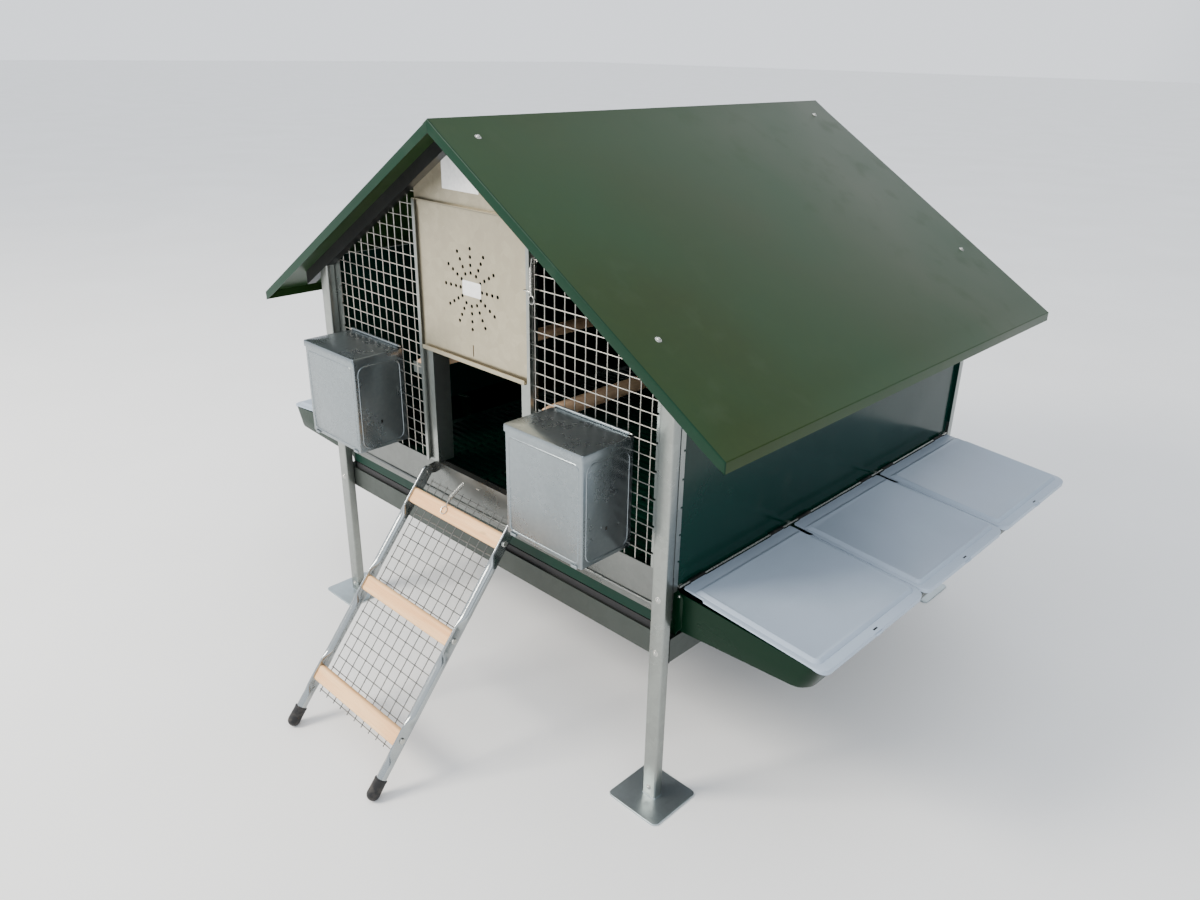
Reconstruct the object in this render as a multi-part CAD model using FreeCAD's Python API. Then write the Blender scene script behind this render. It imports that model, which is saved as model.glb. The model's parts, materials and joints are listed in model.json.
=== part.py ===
"""Raised chicken coop: galvanised frame, painted sheet roof and walls, wire front,
sliding pop-hole door, folding ladder, hung feeders and lidded nest trays.

Millimetres, +Z up, +X to the right when facing the door, +Y towards the back.
While the coop is built, Y = 0 is the plane of the front wire mesh and X = 0 is
its middle. The finished coop is moved so that the origin is at the bottom
centre of its bounding box."""
import FreeCAD, Part
import math
import os

Vec = FreeCAD.Vector
os.makedirs("parts", exist_ok=True)

# ---------------------------------------------------------------- driving dimensions
frame_width = 1014.0          # over the outer faces of the posts
frame_depth = 1012.0          # from the front wire plane to the rear wall plane
post_width = 30.0
post_depth = 20.0
post_wall = 2.0
sheet = 1.5                   # galvanised sheet
skin = 1.2                    # painted sheet
seat_gap = 0.3                # between a loose piece and what it lies in

ridge_height = 1156.0
roof_side = 143.0             # past the posts' outer faces, left and right
roof_overhang = 61.0          # past the posts' faces, front and back
roof_slope = 32.1             # degrees
roof_lip = 18.0
eave_lip = 18.0
ridge_flap = 18.0
rafter_depth = 25.0
rafter_tail = 60.0            # past the posts' outer faces
rafter_bolt_ridge = 44.0      # from the middle, along X
rafter_bolt_post = 48.0       # inside the posts' outer faces

sill_bottom = 384.0
sill_height = 83.0
rail_top = 343.0
rail_height = 47.0
rail_flange = 25.0
floor_top = 382.0
floor_thickness = 22.0
floor_deck = 6.0
floor_rib = 4.0

foot_size = 117.0
foot_thickness = 4.0
foot_corner = 10.0
foot_spigot = 40.0

mesh_pitch = 25.0
wire = 2.0
mesh_row = 464.3              # height of one horizontal wire; the others follow by the pitch
mesh_post_gap = 64.5          # from a post's outer face to the first upright wire
strip_width = 21.0            # mesh edge strip beside the post
strip_return = 10.0
notch = 4.0

door_width = 325.4
door_height = 287.0
door_raised = 714.0           # height of the raised door's bottom edge
door_lip = 8.0
guide_face = 32.0
guide_lip = 8.0
guide_depth = 9.0
guide_return = 38.0
guide_headroom = 18.6         # from the guides' top to the rafters' underside
door_gap = 0.8
catch_offset = 5.5            # from the upright wire beside the door
catch_height = 226.0          # the wire that the catch hangs on is the last one under this
ray_count = 12
ray_radii = (31.0, 45.0, 60.0, 75.0)
ray_hole = 3.5

hinge_out = 26.0              # ladder hinge, forward of the wire plane
hinge_height = 452.0
ladder_reach = 357.0          # from the hinge to the middle of the feet, along Y
rail_spacing = 285.0          # between the centres of the ladder's rails
tube_radius = 10.0
tube_wall = 1.5
flat_thickness = 5.0
flat_width = 27.0
flat_length = 48.0
rung_first = 56.0
rung_pitch = 202.0
rung_count = 3
rung_width = 32.0
rung_thickness = 18.0
cap_radius = 12.5
cap_length = 30.0
pin_radius = 3.0
pin_play = 0.05
lug_thickness = 3.0

feeder_width = 185.0
feeder_depth = 119.0
feeder_height = 204.0
feeder_bottom = 487.0
feeder_right_x = 316.0
feeder_left_x = -333.0
feeder_skin = 1.2
feeder_lid_drop = 12.0

nest_front = 18.0             # front of the nest rows
nest_count = 3
nest_reach = 279.0            # outer top edge, from the side wall
nest_undercut = 18.0
nest_outer_top = 411.0
nest_outer_bottom = 364.0
nest_inner_top = 437.0
nest_inner_bottom = 350.0
nest_wall = 2.0
nest_corner = 22.0
lid_gap = 1.5
lid_rim = 10.0
lid_skin = 2.5
lid_raise = 4.0
lid_border = 20.0
rod_radius = 2.0
rod_lift = 2.4                # the hinge rod above the trays' inner rim
knuckle_radius = 4.0
knuckle_length = 40.0

perch_radius = 14.5
perch_offset = 190.0
perch_height = 665.0
bracket_depth = 25.0
bracket_wall = 2.0

tray_height = 14.0
tray_wall = 1.5
tray_lip = 16.0
tray_pull = 120.0             # half the length of the tray's pull

bolt_radius = 3.0
bolt_head = 6.0
bolt_head_height = 3.5

# ---------------------------------------------------------------- places that follow
slope = math.radians(roof_slope)
half_frame = frame_width / 2
post_inner = half_frame - post_width
side_wall = half_frame - 7.0              # outer face of the painted side walls
post_back = -sheet
post_front = post_back - post_depth
sill_top = sill_bottom + sill_height
eave_x = half_frame + roof_side
mid_depth = frame_depth / 2
mesh_inner = door_width / 2 - 26.0        # the wire panels end behind the door guides
mesh_outer = post_inner + 3.0
mesh_top_drop = skin + rafter_depth / 2
guide_outer = door_width / 2 + door_gap + sheet
nodes = {}


def box(x0, x1, y0, y1, z0, z1):
    """A box between two corners given axis by axis."""
    corner = Vec(min(x0, x1), min(y0, y1), min(z0, z1))
    return Part.makeBox(abs(x1 - x0), abs(y1 - y0), abs(z1 - z0), corner)


def prism_y(outline, y0, y1):
    """An outline of (x, z) points, extruded from y0 to y1."""
    points = [Vec(x, y0, z) for x, z in outline]
    return Part.Face(Part.makePolygon(points + points[:1])).extrude(Vec(0, y1 - y0, 0))


def prism_x(outline, x0, x1):
    """An outline of (y, z) points, extruded from x0 to x1."""
    points = [Vec(x0, y, z) for y, z in outline]
    return Part.Face(Part.makePolygon(points + points[:1])).extrude(Vec(x1 - x0, 0, 0))


def rod(start, end, radius):
    """A round bar between two points."""
    run = end - start
    return Part.makeCylinder(radius, run.Length, start, run)


def fuse(first, *others):
    """One solid from several that touch or cross."""
    return first.multiFuse(list(others)).removeSplitter()


def mirror_side(shape):
    """The same piece on the other side of X = 0."""
    return shape.mirror(Vec(0, 0, 0), Vec(1, 0, 0))


def mirror_depth(shape):
    """The same piece at the other end of the coop."""
    return shape.mirror(Vec(0, mid_depth, 0), Vec(0, 1, 0))


def roof_z(x, drop=0.0):
    """Height of the roof's top face at x, lowered by a distance square to the slope."""
    return ridge_height - abs(x) * math.tan(slope) - drop / math.cos(slope)


def bolt(seat, direction, length, head=bolt_head):
    """A domed bolt: its head stands on seat, its shank runs along direction."""
    head_body = Part.makeCylinder(head, bolt_head_height, seat, -direction)
    rim = [edge for edge in head_body.Edges if edge.Curve.TypeId == "Part::GeomCircle"
           and (edge.CenterOfMass - seat).Length > bolt_head_height / 2]
    head_body = head_body.makeFillet(bolt_head_height * 0.55, rim)
    return fuse(head_body, Part.makeCylinder(bolt_radius, length, seat, direction))


def bolt_hole(seat, direction, length):
    """The clearance hole for a bolt, cut a little past both ends."""
    start = seat - direction * bolt_head_height
    return Part.makeCylinder(bolt_radius + seat_gap, length + 2 * bolt_head_height, start, direction)


def clip_below(points, limit):
    """The part of an (x, z) polygon that lies under z = limit(x), a straight line."""
    kept = []
    for (x0, z0), (x1, z1) in zip(points, points[1:] + points[:1]):
        over0 = z0 - limit(x0)
        over1 = z1 - limit(x1)
        if over0 <= 0:
            kept.append((x0, z0))
        if over0 * over1 < 0:
            share = over0 / (over0 - over1)
            kept.append((x0 + share * (x1 - x0), z0 + share * (z1 - z0)))
    return kept


def polygon_area(points):
    """Area of an (x, z) polygon."""
    pairs = zip(points, points[1:] + points[:1])
    return abs(sum(x0 * z1 - x1 * z0 for (x0, z0), (x1, z1) in pairs)) / 2


def pierced(outlines):
    """A flat face whose first outline is its edge and whose others are its holes."""
    return Part.makeFace(outlines, "Part::FaceMakerCheese")


def grille(outline, columns, rows, limit, thickness):
    """A flat welded mesh: the outline in XZ with a square hole in each cell."""
    least = mesh_pitch * wire
    walls = [Part.makePolygon([Vec(x, 0, z) for x, z in outline + outline[:1]])]
    for x0, x1 in zip(columns, columns[1:]):
        for z0, z1 in zip(rows, rows[1:]):
            left, right = x0 + wire / 2, x1 - wire / 2
            low, high = z0 + wire / 2, z1 - wire / 2
            cell = clip_below([(left, low), (right, low), (right, high), (left, high)], limit)
            if len(cell) > 2 and polygon_area(cell) > least:
                walls.append(Part.makePolygon([Vec(x, 0, z) for x, z in cell + cell[:1]]))
    return pierced(walls).extrude(Vec(0, thickness, 0))


# ---------------------------------------------------------------- frame
guide_top = roof_z(guide_outer, skin + rafter_depth) - guide_headroom
frame_bolt_places = []


def build_posts():
    """Four box-section legs on square foot plates, cut to the slope under the rafters."""
    top = [(post_inner, foot_thickness), (half_frame, foot_thickness),
           (half_frame, roof_z(half_frame, skin + rafter_depth)),
           (post_inner, roof_z(post_inner, skin + rafter_depth))]
    post = prism_y(top, post_front, post_back)
    bore = box(post_inner + post_wall, half_frame - post_wall, post_front + post_wall,
               post_back - post_wall, 0, ridge_height)
    post = post.cut(bore)
    middle_x = half_frame - post_width / 2
    middle_y = (post_front + post_back) / 2
    seats = [Vec(middle_x, post_front, sill_bottom + sill_height / 2),
             Vec(middle_x, post_front, rail_top - rail_height / 2)]
    foot_seat = Vec(middle_x, post_front, foot_thickness + foot_spigot / 2)
    along = Vec(0, 1, 0)
    reach = post_depth + sheet + 0.4
    for seat in seats:
        post = post.cut(bolt_hole(seat, along, reach))
        frame_bolt_places.append((seat, reach))
    post = post.cut(bolt_hole(foot_seat, along, post_depth / 2))
    frame_bolt_places.append((foot_seat, post_depth / 2))

    half = foot_size / 2
    plate = box(middle_x - half, middle_x + half, middle_y - half, middle_y + half, 0, foot_thickness)
    plate = plate.makeFillet(foot_corner, [edge for edge in plate.Edges
                                           if abs(edge.tangentAt(edge.FirstParameter).z) > 0.9])
    play = post_wall + seat_gap
    spigot = box(post_inner + play, half_frame - play, post_front + play, post_back - play,
                 0, foot_thickness + foot_spigot)
    spigot = spigot.cut(bolt_hole(foot_seat, along, post_depth / 2))
    plate = fuse(plate, spigot)

    nodes["post_front_right"] = post
    nodes["post_front_left"] = mirror_side(post)
    nodes["post_rear_right"] = mirror_depth(post)
    nodes["post_rear_left"] = mirror_depth(mirror_side(post))
    plates = [plate, mirror_side(plate)]
    nodes["foot_plates"] = Part.makeCompound(plates + [mirror_depth(p) for p in plates])


def build_sills():
    """Folded sheet sills under the mesh, with a stiffening bead and the ladder's lugs."""
    back = 14.0
    bead = 4.0
    bead_z = sill_bottom + 14.0
    web = [(-sheet, sill_bottom), (back, sill_bottom), (back, sill_bottom + sheet), (0, sill_bottom + sheet),
           (0, sill_top), (-sheet, sill_top)]
    short = post_inner - 2.0
    sill = prism_x(web, -short, short)
    ends = box(-half_frame, half_frame, -sheet, 0, sill_bottom, sill_top)
    ridge = rod(Vec(-short, -sheet, bead_z), Vec(short, -sheet, bead_z), bead)
    ridge = ridge.cut(box(-half_frame, half_frame, -sheet / 2, bead * 2, sill_bottom, sill_top))
    sill = fuse(sill, ends, ridge)
    for side in (-1, 1):
        seat = Vec(side * (half_frame - post_width / 2), post_front, sill_bottom + sill_height / 2)
        sill = sill.cut(bolt_hole(seat, Vec(0, 1, 0), post_depth + sheet + 3.0))
    nodes["sill_rear"] = mirror_depth(sill)

    lug_inner = rail_spacing / 2 + flat_thickness / 2 + 1.5
    tip = hinge_out + 8.0
    lug_outline = [(-sheet, hinge_height - 12), (-hinge_out, hinge_height - 8), (-tip, hinge_height),
                   (-hinge_out, hinge_height + 8), (-sheet, hinge_height + 12)]
    lug = prism_x(lug_outline, lug_inner, lug_inner + lug_thickness)
    lug = lug.cut(rod(Vec(0, -hinge_out, hinge_height), Vec(half_frame, -hinge_out, hinge_height),
                      pin_radius + pin_play))
    threshold = box(4.0 - mesh_inner, mesh_inner - 4.0, -sheet, back, sill_top - sheet, sill_top)
    nodes["sill_front"] = fuse(sill, lug, mirror_side(lug), threshold)

    loop = 5.0
    staple_z = hinge_height
    outer = box(-loop, loop, -sheet - 5.0, -sheet, staple_z - 1.0, staple_z + 1.0)
    inner = box(-loop + 2, loop - 2, -sheet - 3.0, -sheet, staple_z - 2.0, staple_z + 2.0)
    nodes["sill_staple"] = outer.cut(inner)


def build_lower_rails():
    """Channel rails that tie the legs; the side rails also carry the floor and the tray."""
    low = rail_top - rail_height
    front = [(0, low), (rail_flange, low), (rail_flange, low + 2), (2, low + 2), (2, rail_top - 2),
             (rail_flange, rail_top - 2), (rail_flange, rail_top), (0, rail_top)]
    flange_inner = post_inner - 30.0
    channel = prism_x(front, -flange_inner + 1.0, flange_inner - 1.0)
    ends = box(-half_frame, half_frame, 0, 2, low, rail_top)
    rail = fuse(channel, ends)
    rail.translate(Vec(0, -sheet, 0))
    for side in (-1, 1):
        seat = Vec(side * (half_frame - post_width / 2), post_front, rail_top - rail_height / 2)
        rail = rail.cut(bolt_hole(seat, Vec(0, 1, 0), post_depth + sheet + 3.0))
    nodes["rail_front"] = rail
    nodes["rail_rear"] = mirror_depth(rail)

    web = half_frame - 2.0
    bearer = post_inner - 3.0
    floor_bottom = floor_top - floor_thickness
    side = [(web - 20, low), (web, low), (web, rail_top), (bearer + 2, rail_top), (bearer + 2, floor_bottom),
            (bearer, floor_bottom), (bearer, rail_top), (flange_inner, rail_top),
            (flange_inner, rail_top - 2), (web - 2, rail_top - 2), (web - 2, low + 2), (web - 20, low + 2)]
    end = 2.0 - sheet
    rail = prism_y(side, end, frame_depth - end)
    nodes["rail_right"] = rail
    nodes["rail_left"] = mirror_side(rail)


def build_rafters():
    """Box-section rafters under the roof, over the posts, meeting at the ridge."""
    far = half_frame + rafter_tail
    shell = [(0, roof_z(0, skin)), (far, roof_z(far, skin)), (far, roof_z(far, skin + rafter_depth)),
             (0, roof_z(0, skin + rafter_depth))]
    rafter = prism_y(shell, post_front, post_back)
    wall = post_wall
    hollow = [(1.0, roof_z(1.0, skin + wall)), (far + 5, roof_z(far + 5, skin + wall)),
              (far + 5, roof_z(far + 5, skin + rafter_depth - wall)),
              (1.0, roof_z(1.0, skin + rafter_depth - wall))]
    rafter = rafter.cut(prism_y(hollow, post_front + wall, post_back - wall))
    rafter = rafter.cut(Part.makeCompound([hole for hole in roof_holes() if hole.CenterOfMass.x > 0]))
    nodes["rafter_front_right"] = rafter
    nodes["rafter_front_left"] = mirror_side(rafter)
    nodes["rafter_rear_right"] = mirror_depth(rafter)
    nodes["rafter_rear_left"] = mirror_depth(mirror_side(rafter))


# ---------------------------------------------------------------- roof
def roof_bolt_places():
    """Seat and direction of each bolt on the right slope's front rafter."""
    down = Vec(-math.sin(slope), 0, -math.cos(slope))
    places = []
    for x in (rafter_bolt_ridge, half_frame - rafter_bolt_post):
        places.append((Vec(x, (post_front + post_back) / 2, roof_z(x)), down))
    return places


def roof_holes():
    """Clearance holes for every roof bolt."""
    length = skin + rafter_depth / 2
    right = [bolt_hole(seat, down, length) for seat, down in roof_bolt_places()]
    front = right + [mirror_side(hole) for hole in right]
    return front + [mirror_depth(hole) for hole in front]


def build_roof():
    """Two folded sheets: the right one laps over the left one at the ridge."""
    y0 = post_front - roof_overhang
    y1 = frame_depth - y0
    t = skin / math.cos(slope)
    holes = Part.makeCompound(roof_holes())
    flap = ridge_flap * math.cos(slope)

    def slope_sheet():
        run = [(0, roof_z(0)), (eave_x, roof_z(eave_x)), (eave_x, roof_z(eave_x) - eave_lip),
               (eave_x - skin, roof_z(eave_x) - eave_lip), (eave_x - skin, roof_z(eave_x - skin, skin)),
               (0, roof_z(0, skin))]
        lip = [(0, roof_z(0, skin / 2)), (eave_x, roof_z(eave_x, skin / 2)),
               (eave_x, roof_z(eave_x) - eave_lip), (eave_x - roof_lip, roof_z(eave_x - roof_lip, roof_lip)),
               (0, roof_z(0, roof_lip))]
        return fuse(prism_y(run, y0, y1), prism_y(lip, y0, y0 + skin), prism_y(lip, y1 - skin, y1))

    over = [(0.0, roof_z(0) + t), (-flap, roof_z(flap) + t), (-flap, roof_z(flap)), (0.0, roof_z(0) - t / 2),
            (flap, roof_z(flap) - t / 2), (flap, roof_z(flap))]
    right = fuse(slope_sheet(), prism_y(over, y0, y1)).cut(holes)
    nodes["roof_right"] = right
    nodes["roof_left"] = mirror_side(slope_sheet()).cut(prism_y(over, y0 - 1, y1 + 1)).cut(holes)

    washer = 1.0
    bolts = []
    for seat, down in roof_bolt_places():
        ring = Part.makeCylinder(bolt_head + 2.5, washer, seat - down * washer, down)
        bolts.append(fuse(bolt(seat - down * washer, down, skin + rafter_depth / 2), ring))
    front = bolts + [mirror_side(piece) for piece in bolts]
    nodes["roof_bolts"] = Part.makeCompound(front + [mirror_depth(piece) for piece in front])


# ---------------------------------------------------------------- walls and wire


def mesh_rows():
    """Heights of the horizontal wires, from behind the sill to the ridge."""
    first = mesh_row - mesh_pitch
    count = int((ridge_height - first) / mesh_pitch) + 1
    return [first + index * mesh_pitch for index in range(count)]


def mesh_columns():
    """Places of the upright wires on the right, from the post towards the door."""
    first = half_frame - mesh_post_gap
    count = int((first - mesh_inner) / mesh_pitch)
    inner = [first - index * mesh_pitch for index in range(count, -1, -1)]
    return [mesh_inner + wire / 2] + inner + [mesh_outer - wire / 2]


# the catch hangs beside the first upright clear of the door's guide
catch_x = min(x for x in mesh_columns()[1:] if x > guide_outer) + catch_offset
catch_z = mesh_row + mesh_pitch * int((door_raised + catch_height - mesh_row) / mesh_pitch)


def build_front_mesh():
    """Welded wire panels each side of the door, cut to the slope."""
    low = mesh_row - mesh_pitch
    outline = [(mesh_inner, low), (mesh_outer, low), (mesh_outer, roof_z(mesh_outer, mesh_top_drop)),
               (mesh_inner, roof_z(mesh_inner, mesh_top_drop))]
    panel = grille(outline, mesh_columns(), mesh_rows(), lambda x: roof_z(x, mesh_top_drop + wire), wire)
    nodes["mesh_right"] = panel
    nodes["mesh_left"] = mirror_side(panel)

    x0 = post_inner - strip_width
    strip_top_inner = roof_z(x0, skin + rafter_depth)
    strip_top_outer = roof_z(half_frame, skin + rafter_depth)
    flat = prism_y([(x0, sill_top), (half_frame, sill_top), (half_frame, strip_top_outer),
                    (x0, strip_top_inner)], -sheet, 0)
    edge_top = roof_z(half_frame, skin + rafter_depth)
    edge = box(half_frame - sheet, half_frame, 0, strip_return, nest_inner_top, edge_top)
    strip = fuse(flat, edge)
    notches = []
    z = sill_top + mesh_pitch
    while z < edge_top - mesh_pitch:
        notches.append(box(x0, x0 + notch, -sheet, 0, z, z + notch))
        notches.append(box(half_frame - sheet, half_frame, strip_return - notch, strip_return, z, z + notch))
        z += 2 * mesh_pitch
    strip = strip.cut(Part.makeCompound(notches))
    nodes["mesh_edge_strips"] = Part.makeCompound([strip, mirror_side(strip)])


def build_gables():
    """The galvanised gable sheet over the door and the painted rear wall."""
    wide = door_width / 2 + 2.3
    drop = skin + 2.0
    sheet_outline = [(-wide, guide_top), (wide, guide_top), (wide, roof_z(wide, drop)),
                     (0, roof_z(0, drop)), (-wide, roof_z(wide, drop))]
    gable = prism_y(sheet_outline, -sheet, 0)
    lip = box(-wide + 4, wide - 4, -sheet - 9.0, 0, guide_top, guide_top + sheet)
    nodes["gable_front"] = fuse(gable, lip)

    back = [(-half_frame, sill_top), (half_frame, sill_top), (half_frame, roof_z(half_frame, drop)),
            (0, roof_z(0, drop)), (-half_frame, roof_z(half_frame, drop))]
    vents = []
    for row in range(3):
        for column in range(-4 + row, 5 - row):
            centre = Vec(column * mesh_pitch * 1.4, frame_depth, guide_top - mesh_pitch + row * mesh_pitch)
            vents.append(Part.makeCylinder(ray_hole * 2, 3 * sheet, centre - Vec(0, sheet, 0), Vec(0, 1, 0)))
    nodes["rear_wall"] = prism_y(back, frame_depth, frame_depth + sheet).cut(Part.makeCompound(vents))


def build_side_walls():
    """Painted side sheets with flanges folded in at the front and the rear."""
    inner = side_wall - skin
    flange = side_wall - mesh_outer - 1.0
    top = roof_z(side_wall, skin + 1.0)
    sheet_body = box(inner, side_wall, 0, frame_depth, nest_inner_top, top)
    front = box(side_wall - flange, side_wall, 0, skin, nest_inner_top, top)
    wall = fuse(sheet_body, front, mirror_depth(front))
    nodes["wall_right"] = wall
    nodes["wall_left"] = mirror_side(wall)


# ---------------------------------------------------------------- door
def build_door():
    """Guillotine door with a sunburst of air holes, in two folded guides."""
    outer = guide_outer
    inner = outer - guide_face
    front = -guide_depth
    plan = [(inner, guide_return), (inner + sheet, guide_return), (inner + sheet, 0), (outer, 0),
            (outer, front), (outer - guide_lip, front), (outer - guide_lip, front + sheet),
            (outer - sheet, front + sheet), (outer - sheet, -sheet), (inner, -sheet)]
    points = [Vec(x, y, sill_top) for x, y in plan]
    face = Part.Face(Part.makePolygon(points + points[:1]))
    guide = face.extrude(Vec(0, 0, guide_top - sill_top))
    nodes["door_guide_right"] = guide
    nodes["door_guide_left"] = mirror_side(guide)

    back = -sheet - 0.5
    half = door_width / 2
    panel = box(-half, half, back - sheet, back, door_raised, door_raised + door_height)
    lip_half = outer - guide_lip - 5.0
    lip = box(-lip_half, lip_half, back - sheet - door_lip, back, door_raised, door_raised + sheet)
    hem = box(-lip_half, lip_half, back - sheet - door_lip, back - door_lip, door_raised, door_raised + door_lip)
    top_hem = box(-lip_half, lip_half, back - 2 * sheet, back, door_raised + door_height - 10,
                  door_raised + door_height)
    panel = fuse(panel, lip, hem, top_hem)
    centre_z = door_raised + door_height / 2
    holes = []
    for ray in range(ray_count):
        angle = 2 * math.pi * ray / ray_count
        for radius in ray_radii:
            centre = Vec(radius * math.cos(angle), back - 3 * sheet, centre_z + radius * math.sin(angle))
            holes.append(Part.makeCylinder(ray_hole, 5 * sheet, centre, Vec(0, 1, 0)))
    slot = box(-1.5, 1.5, back - 3 * sheet, back + sheet, door_raised + door_lip + 8, door_raised + 38)
    nodes["door_panel"] = panel.cut(Part.makeCompound(holes + [slot]))


def build_door_catch():
    """Spring catch hung on a mesh wire, with a pull ring and a hook over the door."""
    x = catch_x
    wire_z = catch_z
    wire_r = 1.1
    ring_r = 6.5
    ring_y = wire / 2 - ring_r + wire_r + 0.71 * wire + seat_gap
    hang_y = ring_y - ring_r
    hook_y = -guide_depth - wire_r - 0.6
    spring_top = wire_z - 9.0
    spring_bottom = spring_top - 50.0
    ring = Part.makeTorus(ring_r, wire_r, Vec(x, ring_y, wire_z), Vec(1, 0, 0))
    stem = rod(Vec(x, hang_y, wire_z), Vec(x, hang_y, spring_top - 2), 1.6)
    spring = rod(Vec(x, hook_y, spring_top), Vec(x, hook_y, spring_bottom), 4.0)
    pull = Part.makeTorus(7.0, wire_r, Vec(x, hook_y, spring_bottom - 5.0), Vec(0, 1, 0))
    tip_x = door_width / 2 - 12.0
    hook_z = spring_bottom + 6.0
    arm = rod(Vec(x, hook_y, hook_z), Vec(tip_x, hook_y, hook_z), wire_r)
    door_front = -2 * sheet - 0.5
    tip = rod(Vec(tip_x, hook_y - 0.5, hook_z), Vec(tip_x, door_front - 0.6, hook_z), 1.4)
    nodes["door_catch"] = fuse(spring, stem, ring, pull, arm, tip)


# ---------------------------------------------------------------- ladder
drop_to_foot = hinge_height - cap_radius
ladder_lean = math.degrees(math.atan2(drop_to_foot, ladder_reach))
ladder_length = math.hypot(drop_to_foot, ladder_reach)
rung_places = [rung_first + index * rung_pitch for index in range(rung_count)]


def lean(shape):
    """Turn a piece built flat behind the hinge down to the ladder's slope."""
    shape = shape.copy()
    shape.rotate(Vec(0, 0, 0), Vec(1, 0, 0), ladder_lean)
    shape.translate(Vec(0, -hinge_out, hinge_height))
    return shape


def flat_tube(y0, y1, x):
    """A pressed-flat stretch of the rail, with rounded ends."""
    half = flat_width / 2
    plate = box(x - flat_thickness / 2, x + flat_thickness / 2, -y1, -y0, -half, half)
    return plate.makeFillet(half * 0.6, [edge for edge in plate.Edges
                                         if abs(edge.tangentAt(edge.FirstParameter).x) > 0.9])


def build_ladder():
    """Two tube rails pressed flat at the rungs, wooden rungs and a mesh panel under them."""
    x = rail_spacing / 2
    overlap = 4.0
    ear_end = rung_places[0] + flat_length / 2
    flats = [(-flat_width / 2, ear_end)] + [(p - flat_length / 2, p + flat_length / 2) for p in rung_places[1:]]
    tubes = [(a[1], b[0]) for a, b in zip(flats, flats[1:])] + [(flats[-1][1], ladder_length)]
    pieces = [flat_tube(y0, y1, x) for y0, y1 in flats]
    for y0, y1 in tubes:
        pieces.append(rod(Vec(x, -y0 + overlap, 0), Vec(x, -min(y1 + overlap, ladder_length), 0), tube_radius))
    rail = fuse(*pieces)
    for y0, y1 in tubes:
        rail = rail.cut(rod(Vec(x, -y0 - 8, 0), Vec(x, -min(y1 - 8, ladder_length + 1), 0),
                            tube_radius - tube_wall))
    across = Vec(-1, 0, 0)
    seat_x = x + flat_thickness / 2
    rail = rail.cut(rod(Vec(0, 0, 0), Vec(half_frame, 0, 0), pin_radius + pin_play))
    bolts = []
    for place in rung_places:
        seat = Vec(seat_x, -place, 0)
        rail = rail.cut(bolt_hole(seat, across, 30))
        bolts.append(bolt(seat, across, 30))
    nodes["ladder_rail_right"] = lean(rail)
    nodes["ladder_rail_left"] = lean(mirror_side(rail))
    bolts += [mirror_side(piece) for piece in bolts]
    nodes["ladder_bolts"] = lean(Part.makeCompound(bolts))

    half_rung = x - flat_thickness / 2
    for number, place in enumerate(rung_places, 1):
        rung = box(-half_rung, half_rung, -place - rung_width / 2, -place + rung_width / 2,
                   -rung_thickness / 2, rung_thickness / 2)
        rung = rung.makeFillet(6.0, [edge for edge in rung.Edges
                                     if abs(edge.tangentAt(edge.FirstParameter).x) > 0.9])
        for side in (-1, 1):
            rung = rung.cut(bolt_hole(Vec(side * seat_x, -place, 0), Vec(-side, 0, 0), 30))
        nodes["ladder_rung_%d" % number] = lean(rung)

    reach_x = half_rung - 5.0
    start, stop = 14.0, rung_places[-1] + rung_width / 2 + 14.0
    cells_x = int(2 * reach_x / mesh_pitch)
    cells_y = int((stop - start) / mesh_pitch)
    columns = [-cells_x * mesh_pitch / 2 + i * mesh_pitch for i in range(cells_x + 1)]
    rows = [start + i * mesh_pitch for i in range(cells_y + 1)]
    edge_x = columns[-1] + wire / 2
    outline = [(-edge_x, start - wire / 2), (edge_x, start - wire / 2),
               (edge_x, rows[-1] + wire / 2), (-edge_x, rows[-1] + wire / 2)]
    panel = grille(outline, columns, rows, lambda _: rows[-1] + mesh_pitch, wire)
    panel.rotate(Vec(0, 0, 0), Vec(1, 0, 0), 90)
    panel.translate(Vec(0, 0, -rung_thickness / 2 - wire - panel.BoundBox.ZMin))
    nodes["ladder_mesh"] = lean(panel)

    cap = Part.makeCylinder(cap_radius, cap_length, Vec(x, -ladder_length + cap_length, 0), Vec(0, -1, 0))
    cap = fuse(cap, Part.makeSphere(cap_radius, Vec(x, -ladder_length, 0)))
    cap = cap.cut(rod(Vec(x, -ladder_length + cap_length + 1, 0), Vec(x, -ladder_length, 0),
                      tube_radius + pin_play))
    nodes["ladder_caps"] = lean(Part.makeCompound([cap, mirror_side(cap)]))

    pin_start = x - flat_thickness / 2 - 3.0
    pin_end = x + flat_thickness / 2 + 1.5 + lug_thickness
    pin = bolt(Vec(pin_end, -hinge_out, hinge_height), across, pin_end - pin_start, head=5.0)
    return [pin, mirror_side(pin)]


def build_ladder_catch():
    """Spring catch lying on the ladder's top, between the hinge and the first rung."""
    wire_r = 1.1
    lift = 5.0 - rung_thickness / 2
    x = -rung_width
    top = 12.0
    high = rung_thickness / 2 + 1.6
    end_y = -rung_places[0] + 4
    spring_start = Vec(x, top, lift)
    spring_end = Vec(x, -30.0, high + 1.0)
    spring = rod(spring_start, spring_end, 4.0)
    pull = Part.makeTorus(8.0, wire_r, Vec(x, end_y - 2, high), Vec(0, 0, 1))
    stem = rod(spring_end, Vec(x, end_y + 6, high), wire_r)
    nodes["ladder_catch"] = lean(fuse(spring, stem, pull))


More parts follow.
